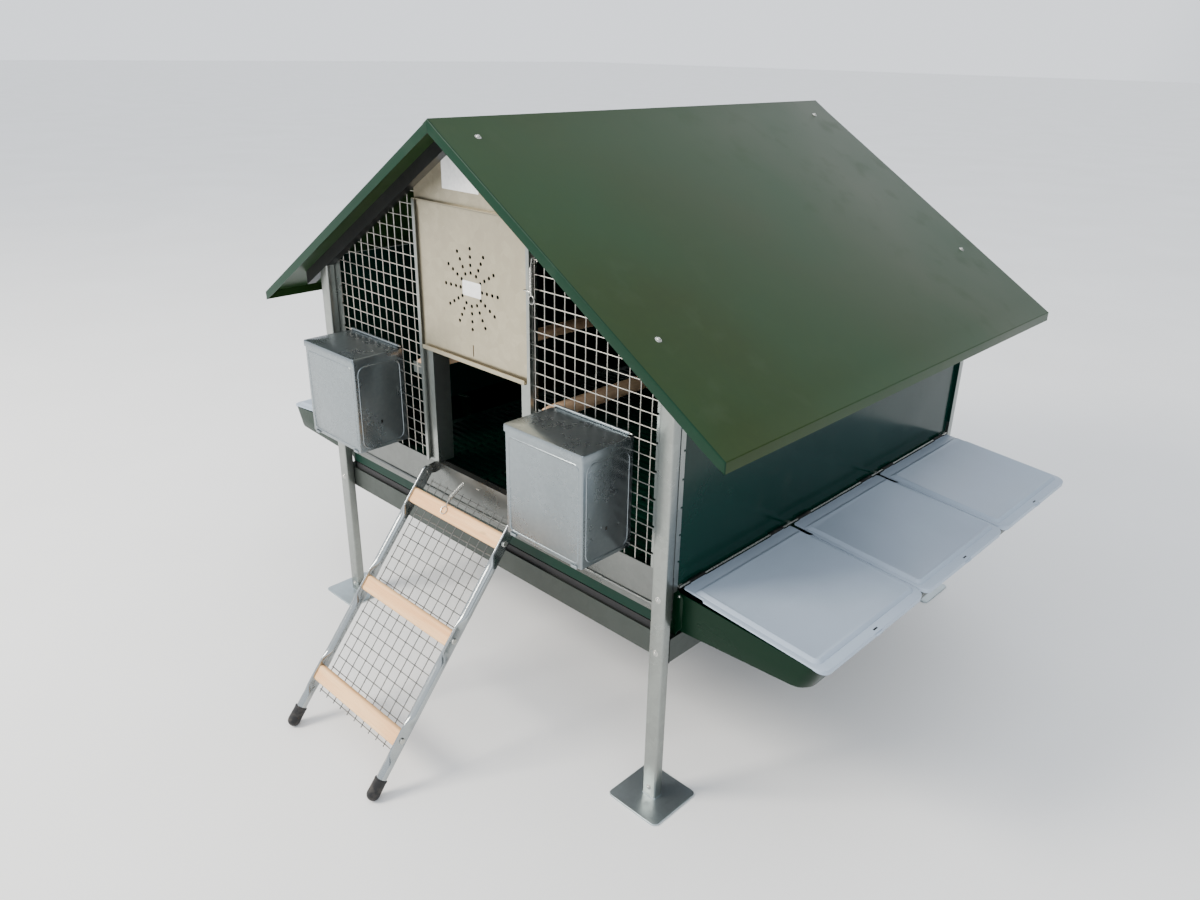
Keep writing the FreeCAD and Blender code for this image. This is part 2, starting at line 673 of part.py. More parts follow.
# ---------------------------------------------------------------- feeders
def build_feeders():
    """Two sheet boxes hung on the mesh by hooks, each with a lid on a pin at the back."""
    half = feeder_width / 2
    top = feeder_bottom + feeder_height
    front = -feeder_depth
    t = feeder_skin
    shell = box(-half, half, front, 0, feeder_bottom, top)
    hollow = box(-half + t, half - t, front + t, -t, feeder_bottom + t, top + 1)
    body = shell.cut(hollow)
    bead = 8.0
    frame_out = box(-half + bead, half - bead, front - 1.0, front, feeder_bottom + bead, top - bead - 8)
    frame_in = box(-half + bead + 2, half - bead - 2, front - 2, front + t, feeder_bottom + bead + 2,
                   top - bead - 10)
    tab = box(-half + 10, -half + 24, front - 2.0, front, feeder_bottom - 2, feeder_bottom + 3)
    tab_right = box(half - 24, half - 10, front - 2.0, front, feeder_bottom - 2, feeder_bottom + 3)
    axis_y, axis_z = -5.0, top + 4.0
    pin_r = 1.5
    ear = box(half - 6, half, axis_y - 3, 0, top - 3, axis_z + 3)
    ear_left = box(-half, -half + 6, axis_y - 3, 0, top - 3, axis_z + 3)
    hook_wire = mesh_row + mesh_pitch * int((top - mesh_row) / mesh_pitch)
    pieces = [frame_out.cut(frame_in), tab, tab_right, ear, ear_left]
    body = fuse(body, *pieces)
    slot = box(half - 3, half + 3, front / 2 - 3, front / 2 + 3, feeder_bottom + 52, feeder_bottom + 60)
    body = body.cut(slot)
    pin_hole = rod(Vec(-half - 1, axis_y, axis_z), Vec(half + 1, axis_y, axis_z), pin_r + pin_play)
    body = body.cut(pin_hole)

    roomy = 1.0
    barrel = rod(Vec(-half + 7, axis_y, axis_z), Vec(half - 7, axis_y, axis_z), 3.2)
    cover = box(-half - roomy - t, half + roomy + t, front - roomy - t, axis_y - 3.6, top - feeder_lid_drop, top + t)
    under = box(-half - roomy, half + roomy, front - roomy, axis_y - 3.5, top - feeder_lid_drop - 1, top + 0.2)
    tongue = box(-half + 7, half - 7, axis_y - 4, axis_y, top + 0.4, top + t)
    lift = box(-half + 7, half - 7, axis_y - 1.0, axis_y + 1.0, top + 0.4, axis_z)
    cover = fuse(cover.cut(under), barrel, tongue, lift).cut(pin_hole)
    pin = rod(Vec(-half, axis_y, axis_z), Vec(half, axis_y, axis_z), pin_r)

    pins = []
    for side, centre in (("right", feeder_right_x), ("left", feeder_left_x)):
        move = Vec(centre, 0, 0)
        hooks = []
        first = half_frame - mesh_post_gap
        for reach in (-2, 2):
            cell = round((first - abs(centre)) / mesh_pitch) + reach
            hook_x = (first - (cell + 0.5) * mesh_pitch) * (1 if centre > 0 else -1)
            over = box(hook_x - 4, hook_x + 4, -t, wire + 2.0, hook_wire + wire / 2 + seat_gap,
                       hook_wire + wire / 2 + seat_gap + 1.2)
            down = box(hook_x - 4, hook_x + 4, wire + 0.8, wire + 2.0, hook_wire - 9, hook_wire + wire / 2 + 1.0)
            hooks.append(fuse(over, down))
        placed = body.translated(move)
        nodes["feeder_body_" + side] = fuse(placed, *hooks)
        nodes["feeder_lid_" + side] = cover.translated(move)
        pins.append(pin.translated(move))
    nodes["feeder_hinge_pins"] = Part.makeCompound(pins)


# ---------------------------------------------------------------- nest trays
nest_row = frame_depth - nest_front - sheet - 0.5     # up to the rear posts
nest_pitch = nest_row / nest_count
nest_outer = side_wall + nest_reach
rod_x = side_wall + knuckle_radius + 0.5
rod_z = nest_inner_top + rod_lift
lid_slope = math.atan2(nest_inner_top - nest_outer_top, nest_reach)
tray_start = post_inner + 1.0                         # the trays' inner ends, inside the side wall
tray_rim_drop = 6.0                                   # the trays' inner rim under the lids' hinge


def tray_outline():
    """The tray's (x, z) outline."""
    top_inner = nest_inner_top - tray_rim_drop
    return [(tray_start, nest_inner_bottom), (nest_outer - nest_undercut, nest_outer_bottom),
            (nest_outer, nest_outer_top), (side_wall + 2.0, top_inner), (tray_start, top_inner)]


def tray_hollow():
    """The (x, z) outline of the tray's hollow, open at the top and towards the floor."""
    high = nest_inner_top + 20.0
    back = tray_start - 5.0
    edge = nest_outer - nest_wall
    return [(back, nest_inner_bottom + nest_wall), (edge - nest_undercut, nest_outer_bottom + nest_wall),
            (edge, nest_outer_top), (edge, high), (back, high)]


def build_nests():
    """Two rows of open trays outside the side walls, closed by end plates."""
    margin = 4.0
    trays = []
    for index in range(nest_count):
        y0 = nest_front + index * nest_pitch + margin
        y1 = y0 + nest_pitch - 2 * margin
        shell = prism_y(tray_outline(), y0, y1)
        uprights = [edge for edge in shell.Edges
                    if abs(edge.CenterOfMass.x - (nest_outer - nest_undercut / 2)) < 2.0
                    and abs(edge.tangentAt(edge.FirstParameter).y) < 0.1]
        shell = shell.makeFillet(nest_corner, uprights)
        hollow = prism_y(tray_hollow(), y0 + nest_wall, y1 - nest_wall)
        inner_uprights = [edge for edge in hollow.Edges
                          if edge.CenterOfMass.x > nest_outer - nest_undercut - nest_wall - 1.0
                          and abs(edge.tangentAt(edge.FirstParameter).y) < 0.1
                          and abs(edge.tangentAt(edge.FirstParameter).z) > 0.1]
        hollow = hollow.makeFillet(nest_corner - nest_wall, inner_uprights)
        foot = box(tray_start + 2, tray_start + 6, y0, y1, rail_top, nest_inner_bottom + nest_wall)
        trays.append(fuse(shell.cut(hollow), foot))
    nodes["nest_tray_right"] = Part.makeCompound(trays)
    nodes["nest_tray_left"] = Part.makeCompound([mirror_side(tray) for tray in trays])

    outline = [(tray_start, rail_top), (half_frame - 4, rail_top), (half_frame - 2, nest_inner_bottom),
               (nest_outer - nest_undercut, nest_outer_bottom), (nest_outer, nest_outer_top),
               (side_wall, nest_inner_top), (tray_start, nest_inner_top)]
    plate = prism_y(outline, nest_front - sheet, nest_front)
    ends = [plate, plate.translated(Vec(0, nest_row + sheet, 0))]
    nodes["nest_end_plates"] = Part.makeCompound(ends + [mirror_side(piece) for piece in ends])


def build_lids():
    """Six hinged lids with a raised middle, a rim and a latch tab, and their hinge rods."""
    clip_half = 6.0
    cos_s, sin_s = math.cos(lid_slope), math.sin(lid_slope)
    length = nest_reach / cos_s + 4.0
    start = 3.0
    for index in range(nest_count):
        y0 = nest_front + index * nest_pitch + lid_gap / 2
        y1 = y0 + nest_pitch - lid_gap
        plate = box(start, length, y0, y1, -lid_skin, 0)
        rim_low = -lid_rim
        outer = box(length - lid_skin, length, y0, y1, rim_low, 0)
        near = box(start + 8, length, y0, y0 + 2.0, rim_low, 0)
        far = box(start + 8, length, y1 - 2.0, y1, rim_low, 0)
        raised = box(start + lid_border, length - lid_border, y0 + lid_border, y1 - lid_border, -lid_skin, lid_raise)
        raised = raised.makeChamfer(lid_raise - 0.5, [edge for edge in raised.Edges
                                                      if edge.CenterOfMass.z > lid_raise - 0.1])
        under = box(start + lid_border + lid_raise, length - lid_border - lid_raise, y0 + lid_border + lid_raise,
                    y1 - lid_border - lid_raise, -lid_skin - 1.0, lid_raise - lid_skin)
        middle = (y0 + y1) / 2
        tab = box(length, length + 4.0, middle - 10, middle + 10, rim_low - 4.0, -1.0)
        knuckles = []
        for centre in (y0 + clip_half + knuckle_length, y1 - clip_half - knuckle_length):
            barrel = rod(Vec(0, centre - knuckle_length / 2, 0), Vec(0, centre + knuckle_length / 2, 0),
                         knuckle_radius)
            strap = box(0, start + 2, centre - knuckle_length / 2, centre + knuckle_length / 2, -lid_skin, 0)
            knuckles += [barrel, strap]
        lid = fuse(plate, outer, near, far, raised, tab, *knuckles)
        lid = lid.cut(under).cut(rod(Vec(0, y0 - 1, 0), Vec(0, y1 + 1, 0), rod_radius + pin_play))
        lid.rotate(Vec(0, 0, 0), Vec(0, 1, 0), math.degrees(lid_slope))
        lid.translate(Vec(rod_x, 0, rod_z))
        nodes["nest_lid_right_%d" % (index + 1)] = lid
        nodes["nest_lid_left_%d" % (index + 1)] = mirror_side(lid)

    hinge = rod(Vec(rod_x, nest_front, rod_z), Vec(rod_x, nest_front + nest_row, rod_z), rod_radius)
    clips = []
    for index in range(nest_count + 1):
        y = nest_front + index * nest_pitch
        y = min(max(y, nest_front + clip_half), nest_front + nest_row - clip_half)
        half = clip_half - 1.0
        clips.append(box(side_wall, rod_x + 1.0, y - half, y + half, rod_z - rod_radius, rod_z + rod_radius))
    hinge = fuse(hinge, *clips)
    nodes["lid_hinge_rods"] = Part.makeCompound([hinge, mirror_side(hinge)])


# ---------------------------------------------------------------- inside
def build_inside():
    """Perches in cradles, the slatted floor and the droppings tray under it."""
    bore = perch_radius + seat_gap
    x = perch_offset
    perch = rod(Vec(x, wire + bracket_wall + 1, perch_height),
                Vec(x, frame_depth - bracket_wall - 1, perch_height), perch_radius)
    nodes["perch_right"] = perch
    nodes["perch_left"] = mirror_side(perch)
    out = bore + bracket_wall
    cradle = fuse(Part.makeCylinder(out, bracket_depth, Vec(x, wire, perch_height), Vec(0, 1, 0)),
                  box(x - out, x + out, wire, wire + bracket_wall, perch_height - out, perch_height + 6))
    opening = Part.makeCylinder(bore, bracket_depth, Vec(x, wire + bracket_wall, perch_height), Vec(0, 1, 0))
    cradle = cradle.cut(opening)
    cradle = cradle.cut(box(x - 2 * out, x + 2 * out, wire + bracket_wall, wire + bracket_depth + 1,
                            perch_height, perch_height + 2 * out))
    cradle = cradle.cut(box(x - 2 * out, x + 2 * out, 0, wire + bracket_wall, perch_height + 6,
                            perch_height + 2 * out))
    rear = mirror_depth(cradle)
    rear.translate(Vec(0, wire, 0))
    nodes["perch_brackets"] = Part.makeCompound([cradle, mirror_side(cradle), rear, mirror_side(rear)])

    edge_x = post_inner - 1.0
    y0, y1 = wire + 0.5, frame_depth - 0.5
    slot_x, slot_y, rib_x, rib_y = 140.0, 12.0, 15.0, 10.0
    walls = [Part.makePolygon([Vec(-edge_x, y0, 0), Vec(edge_x, y0, 0), Vec(edge_x, y1, 0),
                               Vec(-edge_x, y1, 0), Vec(-edge_x, y0, 0)])]
    across = int((2 * edge_x - rib_x) / (slot_x + rib_x))
    along = int((y1 - y0 - rib_y) / (slot_y + rib_y))
    left = -(across * (slot_x + rib_x) - rib_x) / 2
    near = (y0 + y1) / 2 - (along * (slot_y + rib_y) - rib_y) / 2
    for i in range(across):
        for j in range(along):
            a, b = left + i * (slot_x + rib_x), near + j * (slot_y + rib_y)
            ring = [Vec(a, b, 0), Vec(a + slot_x, b, 0), Vec(a + slot_x, b + slot_y, 0), Vec(a, b + slot_y, 0)]
            walls.append(Part.makePolygon(ring + ring[:1]))
    deck = pierced(walls).extrude(Vec(0, 0, floor_deck))
    deck.translate(Vec(0, 0, floor_top - floor_deck))
    low = floor_top - floor_thickness
    rim = box(-edge_x, edge_x, y0, y1, low, floor_top - 1.0)
    rim = rim.cut(box(-edge_x + floor_rib, edge_x - floor_rib, y0 + floor_rib, y1 - floor_rib, 0, floor_top))
    nodes["floor_grid"] = fuse(deck, rim)

    tray_x = post_inner - 8.0
    low = rail_top + seat_gap
    front, back = 3.0, frame_depth - 3.0
    outer = box(-tray_x, tray_x, front, back, low, low + tray_height)
    inner = box(-tray_x + tray_wall, tray_x - tray_wall, front + tray_wall, back - tray_wall,
                low + tray_wall, low + tray_height + 1)
    pull = box(-tray_pull, tray_pull, back, back + tray_lip, low + tray_height - tray_wall, low + tray_height)
    nodes["droppings_tray"] = fuse(outer.cut(inner), pull)


def build_frame_bolts(pins):
    """Every bolt of the frame, and the two bolts that the ladder hinges on."""
    along = Vec(0, 1, 0)
    front = [bolt(seat, along, reach) for seat, reach in frame_bolt_places]
    front += [mirror_side(piece) for piece in front]
    nodes["frame_bolts"] = Part.makeCompound(front + [mirror_depth(piece) for piece in front] + pins)


build_posts()
build_sills()
build_lower_rails()
build_rafters()
build_roof()
build_front_mesh()
build_gables()
build_side_walls()
build_door()
build_door_catch()
ladder_pins = build_ladder()
build_ladder_catch()
build_feeders()
build_nests()
build_lids()
build_inside()
build_frame_bolts(ladder_pins)

whole = Part.makeCompound(list(nodes.values())).BoundBox
shift = Vec(-(whole.XMin + whole.XMax) / 2, -(whole.YMin + whole.YMax) / 2, -whole.ZMin)
for name, shape in nodes.items():
    shape.translate(shift)
    shape.exportStep("parts/%s.step" % name)
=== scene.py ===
"""Looks of the raised chicken coop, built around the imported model.

Metres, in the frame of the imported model: +X to the right when facing the door,
+Y from the ladder to the rear wall, Z = 0 on the ground. Places come from the
frame's nodes and joints; the sizes below are those that a box doesn't give."""

import json
import math
import random

import bmesh
import bpy
from mathutils import Matrix, Vector


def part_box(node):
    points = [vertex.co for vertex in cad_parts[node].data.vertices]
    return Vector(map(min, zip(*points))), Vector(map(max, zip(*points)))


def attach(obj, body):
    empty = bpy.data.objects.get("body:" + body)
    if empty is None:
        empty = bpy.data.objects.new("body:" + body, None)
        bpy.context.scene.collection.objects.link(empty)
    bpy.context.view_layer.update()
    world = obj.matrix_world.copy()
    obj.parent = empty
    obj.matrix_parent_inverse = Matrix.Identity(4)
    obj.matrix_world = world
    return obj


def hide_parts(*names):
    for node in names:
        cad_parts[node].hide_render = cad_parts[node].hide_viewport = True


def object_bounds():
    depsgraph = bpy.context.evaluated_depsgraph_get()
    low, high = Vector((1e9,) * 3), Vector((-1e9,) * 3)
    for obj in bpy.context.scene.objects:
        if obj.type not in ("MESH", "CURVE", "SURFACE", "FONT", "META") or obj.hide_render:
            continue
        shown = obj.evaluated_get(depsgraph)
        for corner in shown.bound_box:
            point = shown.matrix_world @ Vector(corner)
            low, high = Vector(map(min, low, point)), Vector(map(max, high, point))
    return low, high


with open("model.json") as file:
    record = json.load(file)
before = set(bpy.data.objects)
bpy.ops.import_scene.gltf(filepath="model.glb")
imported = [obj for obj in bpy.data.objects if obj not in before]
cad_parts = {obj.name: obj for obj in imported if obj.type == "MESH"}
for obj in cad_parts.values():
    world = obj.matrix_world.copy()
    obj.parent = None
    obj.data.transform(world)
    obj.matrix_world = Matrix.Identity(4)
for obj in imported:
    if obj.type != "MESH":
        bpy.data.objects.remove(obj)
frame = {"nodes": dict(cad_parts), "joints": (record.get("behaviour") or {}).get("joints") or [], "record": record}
cad_low, cad_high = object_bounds()
scene = bpy.context.scene
mm = 0.001

X = Vector((1, 0, 0))
Y = Vector((0, 1, 0))
Z = Vector((0, 0, 1))
SIDES = {"right": 1, "left": -1}
HINGES = {joint["name"]: joint for joint in frame["joints"]}

# ---------------- sizes
slope = math.radians(32.1)
skin = 1.2 * mm                # painted sheet
sheet = 1.5 * mm               # galvanised sheet
rafter_depth = 25 * mm
fold = 2.2 * mm                # outer radius of a folded edge
roof_lip = 18 * mm
eave_lip = 18 * mm
mesh_pitch = 25 * mm
wire_radius = 1.0 * mm
mesh_post_gap = 64.5 * mm      # from a post's outer face to the first upright wire
rail_x = 142.5 * mm            # ladder rails
tube_radius = 10 * mm
flat_half = 2.6 * mm
flat_width = 27 * mm
flat_length = 48 * mm
rung_places = [(56 + 202 * index) * mm for index in range(3)]
rung_width = 32 * mm
rung_thickness = 18 * mm
cap_radius = 12.5 * mm
cap_length = 30 * mm
feeder_size = Vector((185, 119, 204)) * mm
feeder_wall = 1.2 * mm
lid_slope = math.atan2(26, 279)
lid_reach = 279 * mm / math.cos(lid_slope) + 4 * mm
nest_undercut = 18 * mm
nest_corner = 22 * mm
nest_rim_fall = 20 * mm        # of the trays' rim, from the wall outwards
nest_floor_rise = 14 * mm      # of the trays' floor, from the wall outwards
post_half = Vector((15, 10)) * mm
least_radius = 0.02 * mm
spring_wire = 0.75 * mm


def low(node):
    """Lowest corner of a CAD node."""
    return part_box(node)[0]


def high(node):
    """Highest corner of a CAD node."""
    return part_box(node)[1]


front = low("mesh_right").y                    # front of the wire's plane
ridge = high("roof_left").z
half_frame = high("post_front_right").x


def roof_z(x, drop=0.0):
    """Height of the roof's top face at x, lowered square to the slope."""
    return ridge - abs(x) * math.tan(slope) - drop / math.cos(slope)


# ---------------- mesh tools
def arc(start, stop, steps):
    """Angles from start to stop in degrees, given in radians."""
    return [math.radians(start + (stop - start) * k / steps) for k in range(steps + 1)]


def full_turn(sides):
    """Angles round a circle, one for each side."""
    return arc(0, 360 - 360 / sides, sides - 1)


def rounded(u0, u1, v0, v1, radius, steps=5):
    """Outline of a rectangle with rounded corners, counter-clockwise from the (u1, v1) corner."""
    radius = max(radius, least_radius)
    corners = [(u1, v1, 1, 1, 0), (u0, v1, -1, 1, 90), (u0, v0, -1, -1, 180), (u1, v0, 1, -1, 270)]
    points = []
    for u, v, su, sv, turn in corners:
        for angle in arc(turn, turn + 90, steps):
            points.append((u - su * radius + radius * math.cos(angle),
                           v - sv * radius + radius * math.sin(angle)))
    return points


def smooth_step(value):
    """0 to 1 with level ends."""
    value = min(max(value, 0.0), 1.0)
    return value * value * (3 - 2 * value)


class Shape:
    """Vertices and faces of one piece, gathered from simpler forms."""

    def __init__(self):
        self.verts = []
        self.faces = []
        self.finishes = []

    def add(self, verts, faces, finish=0):
        """Takes in vertices and faces that use one finish."""
        base = len(self.verts)
        self.verts += [Vector(v) for v in verts]
        self.faces += [[base + index for index in face] for face in faces]
        self.finishes += [finish] * len(faces)

    def rings(self, rings, closed=True, first=True, last=True, finish=0):
        """Quads between rings of equal length; first and last cap the ends."""
        count = len(rings[0])
        spans = count if closed else count - 1
        faces = []
        for level in range(len(rings) - 1):
            a, b = level * count, (level + 1) * count
            for k in range(spans):
                n = (k + 1) % count
                faces.append([a + k, a + n, b + n, b + k])
        if first:
            faces.append(list(range(count))[::-1])
        if last:
            faces.append([(len(rings) - 1) * count + k for k in range(count)])
        self.add([point for ring in rings for point in ring], faces, finish)

    def tube(self, path, radius, sides=8, closed=False, finish=0):
        """A round bar along a path."""
        path = [Vector(p) for p in path]
        count = len(path)
        normal = None
        rings = []
        for index, point in enumerate(path):
            ahead = path[(index + 1) % count] if closed else path[min(index + 1, count - 1)]
            behind = path[index - 1] if closed or index else path[0]
            along = (ahead - behind).normalized()
            if normal is None:
                normal = along.orthogonal().normalized()
            normal = (normal - along * normal.dot(along)).normalized()
            across = along.cross(normal)
            rings.append([point + radius * (math.cos(a) * normal + math.sin(a) * across)
                          for a in full_turn(sides)])
        if closed:
            rings.append(rings[0])
        self.rings(rings, True, not closed, not closed, finish)

    def slab(self, centre, half, corner, edge, axes=(X, Y, Z), finish=0):
        """A block with rounded upright corners and rounded rims at both ends."""
        u, v, w = axes
        steps = 3
        rings = []
        turns = arc(0, 90, steps)
        levels = [(edge * (1 - math.sin(a)), -half[2] + edge * (1 - math.cos(a))) for a in turns]
        levels += [(inset, -depth) for inset, depth in reversed(levels)]
        for inset, depth in levels:
            outline = rounded(inset - half[0], half[0] - inset, inset - half[1], half[1] - inset,
                              max(corner - inset, edge * 0.3), steps)
            rings.append([Vector(centre) + u * a + v * b + w * depth for a, b in outline])
        self.rings(rings, finish=finish)

    def bead(self, centre, half, corner, width, height, axes, finish=0):
        """A pressed ridge that runs round a flat face."""
        u, v, w = axes
        rings = []
        for share in (-1, -0.6, -0.25, 0.25, 0.6, 1):
            outset = share * width / 2
            rise = height * (1 - share * share) - 0.05 * mm
            outline = rounded(-half[0] - outset, half[0] + outset,
                              -half[1] - outset, half[1] + outset, corner + outset)
            rings.append([Vector(centre) + u * a + v * b + w * rise for a, b in outline])
        self.rings(rings, True, False, False, finish)

    def dome(self, seat, axis, radius, height, sides=16, finish=0):
        """A shallow round head standing on seat."""
        axis = axis.normalized()
        normal = axis.orthogonal().normalized()
        across = axis.cross(normal)
        rings = []
        for angle in arc(0, 80, 4):
            out = radius * math.cos(angle)
            up = height * math.sin(angle)
            rings.append([seat + axis * up + out * (math.cos(a) * normal + math.sin(a) * across)
                          for a in full_turn(sides)])
        self.rings(rings, finish=finish)

    def coil(self, start, end, radius, turns, wire, finish=0):
        """A close coil spring between two points, with its ends drawn in."""
        axis = (end - start).normalized()
        normal = axis.orthogonal().normalized()
        across = axis.cross(normal)
        steps = int(turns * 14)
        path = []
        for k in range(steps + 1):
            share = k / steps
            angle = 2 * math.pi * turns * share
            reach = radius * (0.35 + 0.65 * min(1.0, 12 * share, 12 * (1 - share)))
            aside = math.cos(angle) * normal + math.sin(angle) * across
            path.append(start.lerp(end, share) + reach * aside)
        self.tube(path, wire, 6, finish=finish)

    def loop(self, centre, radius, wire, axes, finish=0):
        """A round wire ring in the plane of two axes."""
        u, v = axes
        path = [centre + radius * (math.cos(a) * u + math.sin(a) * v) for a in full_turn(36)]
        self.tube(path, wire, 8, closed=True, finish=finish)

    def make(self, name, body, slot, nodes=(), looks=None, thick=0.0, sharp=38):
        """The finished object: welded, smoothed, given its look, riding on its body."""
        mesh = bpy.data.meshes.new(name)
        mesh.from_pydata([tuple(v) for v in self.verts], [], self.faces)
        mesh.polygons.foreach_set("material_index", self.finishes)
        build = bmesh.new()
        build.from_mesh(mesh)
        bmesh.ops.remove_doubles(build, verts=build.verts, dist=0.01 * mm)
        bmesh.ops.recalc_face_normals(build, faces=build.faces)
        build.to_mesh(mesh)
        build.free()
        obj = bpy.data.objects.new(name, mesh)
        scene.collection.objects.link(obj)
        if thick:
            solid = obj.modifiers.new("thickness", "SOLIDIFY")
            solid.thickness = thick
            solid.offset = -1
            apply_modifiers(obj)
        mesh = obj.data
        mesh.polygons.foreach_set("use_smooth", [True] * len(mesh.polygons))
        mesh.set_sharp_from_angle(angle=math.radians(sharp))
        for look in looks or [LOOKS[slot]]:
            mesh.materials.append(look)
        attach(obj, body)
        if nodes:
            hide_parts(*nodes)
        return obj


def apply_modifiers(obj):
    """Makes the mesh what its modifiers show."""
    bpy.context.view_layer.update()
    graph = bpy.context.evaluated_depsgraph_get()
    shown = bpy.data.meshes.new_from_object(obj.evaluated_get(graph))
    obj.modifiers.clear()
    obj.data = shown


def islands(node):
    """Boxes of the separate solids in a CAD node, as (lowest, highest) corners."""
    build = bmesh.new()
    build.from_mesh(frame["nodes"][node].data)
    bmesh.ops.remove_doubles(build, verts=build.verts, dist=0.001 * mm)
    seen = set()
    found = []
    for vert in build.verts:
        if vert.index in seen:
            continue
        stack = [vert]
        seen.add(vert.index)
        points = []
        while stack:
            here = stack.pop()
            points.append(here.co.copy())
            for edge in here.link_edges:
                other = edge.other_vert(here)
                if other.index not in seen:
                    seen.add(other.index)
                    stack.append(other)
        found.append((Vector(map(min, *points)), Vector(map(max, *points))))
    build.free()
    return found


# ---------------- materials
class Wiring:
    """A node tree, with short ways to add nodes and wire them."""

    def __init__(self, tree):
        self.tree = tree

    def link(self, source, target):
        """Wires a socket to the target, or sets the target to a value."""
        if isinstance(source, bpy.types.NodeSocket):
            self.tree.links.new(source, target)
        else:
            target.default_value = source

    def node(self, kind, **inputs):
        """A new shader node with some of its inputs wired or set."""
        made = self.tree.nodes.new("ShaderNode" + kind)
        for name, source in inputs.items():
            self.link(source, made.inputs[name.replace("_", " ")])
        return made

    def mix(self, factor, a, b):
        """A colour between two others."""
        blend = self.node("Mix")
        blend.data_type = "RGBA"
        self.link(factor, blend.inputs[0])
        for colour, target in ((a, blend.inputs[6]), (b, blend.inputs[7])):
            self.link(colour if isinstance(colour, bpy.types.NodeSocket) else (*colour, 1), target)
        return blend.outputs[2]


class Look(Wiring):
    """A node-based material on the piece's own coordinates, in metres."""

    def __init__(self, name, **sockets):
        self.material = bpy.data.materials.new(name)
        self.material.use_nodes = True
        super().__init__(self.material.node_tree)
        self.shader = self.tree.nodes["Principled BSDF"]
        for socket, value in sockets.items():
            self.shader.inputs[socket.replace("_", " ")].default_value = value
        self.place = self.node("TexCoord").outputs["Object"]

    def noise(self, scale, detail=3.0, stretch=(1, 1, 1), distortion=0.0):
        """Soft noise from 0 to 1, on coordinates scaled along each axis."""
        place = self.node("Mapping", Vector=self.place, Scale=stretch).outputs["Vector"]
        return self.node("TexNoise", Vector=place, Scale=scale, Detail=detail,
                         Distortion=distortion).outputs["Fac"]

    def cells(self, scale):
        """A different value from 0 to 1 in each crystal."""
        colour = self.node("TexVoronoi", Vector=self.place, Scale=scale).outputs["Color"]
        return self.node("SeparateColor", Color=colour).outputs[0]

    def spread(self, value, low_in, high_in, low_out, high_out):
        """A value moved from one range to another."""
        return self.node("MapRange", Value=value, From_Min=low_in, From_Max=high_in,
                         To_Min=low_out, To_Max=high_out).outputs["Result"]

    def add(self, a, b):
        """The sum of two values."""
        total = self.node("Math")
        total.operation = "ADD"
        self.link(a, total.inputs[0])
        self.link(b, total.inputs[1])
        return total.outputs[0]

    def bump(self, height, strength, distance, under=None):
        """A relief, which may lie on another one."""
        relief = self.node("Bump", Strength=strength, Distance=distance, Height=height)
        if under is not None:
            self.link(under, relief.inputs["Normal"])
        return relief.outputs["Normal"]

    def done(self, colour, roughness, normal):
        """The material, with its three main inputs wired."""
        self.link(colour, self.shader.inputs["Base Color"])
        self.link(roughness, self.shader.inputs["Roughness"])
        self.link(normal, self.shader.inputs["Normal"])
        return self.material


def shade(colour, factor):
    """A colour made lighter or darker."""
    return tuple(min(1.0, part * factor) for part in colour)


def zinc_sheet(name, tint, rough, spangle=85, wave=0.25, metallic=0.92, contrast=1.0):
    """Hot-dip galvanised sheet: crystals of zinc, faint rolling streaks, soft stains."""
    look = Look(name, Metallic=metallic)
    crystal = look.cells(spangle)
    small = look.cells(spangle * 2.7)
    cloud = look.noise(9, 4)
    streak = look.noise(14, 5, (1.0, 1.0, 0.12))
    colour = look.mix(look.spread(crystal, 0, 1, 0, 0.6 * contrast), shade(tint, 1.06), shade(tint, 0.84))
    colour = look.mix(look.spread(small, 0, 1, 0, 0.4 * contrast), colour, shade(tint, 0.9))
    colour = look.mix(look.spread(cloud, 0.35, 0.75, 0, 0.5), colour, shade(tint, 1.14))
    colour = look.mix(look.spread(streak, 0.5, 0.8, 0, 0.3 * contrast), colour, shade(tint, 0.7))
    roughness = look.add(look.spread(crystal, 0, 1, rough, rough + 0.02),
                         look.spread(cloud, 0.3, 0.7, -0.03, 0.05))
    return look.done(colour, roughness, look.bump(look.noise(7, 2), wave, 2 * mm))


def sheet_paint(name, tint, rough, wave, specular, patch=None):
    """Coil-coated sheet: an even gloss with orange peel, slight waves and dust."""
    look = Look(name, Specular_IOR_Level=specular)
    cloud = look.noise(3.2, 4)
    fine = look.noise(60, 3)
    # Cloud patches: a lighter tone of the tint at random; where patch is given, that colour instead, used on the
    # roof as a painted reflection of the sky
    colour = look.mix(look.spread(cloud, 0.3, 0.7, 0, 1), shade(tint, 0.92), patch or shade(tint, 1.12))
    colour = look.mix(look.spread(fine, 0.4, 0.9, 0, 0.18), colour, shade(tint, 1.5))
    dust = look.spread(look.noise(17, 6), 0.56, 0.82, 0, 0.1)
    colour = look.mix(dust, colour, (0.10, 0.12, 0.09))
    roughness = look.add(look.spread(cloud, 0.3, 0.7, rough - 0.03, rough + 0.05), dust)
    waves = look.bump(look.noise(2.6, 2), wave, 9 * mm)
    peel = look.bump(look.noise(160, 1), 0.05, 0.1 * mm, waves)
    return look.done(colour, roughness, peel)


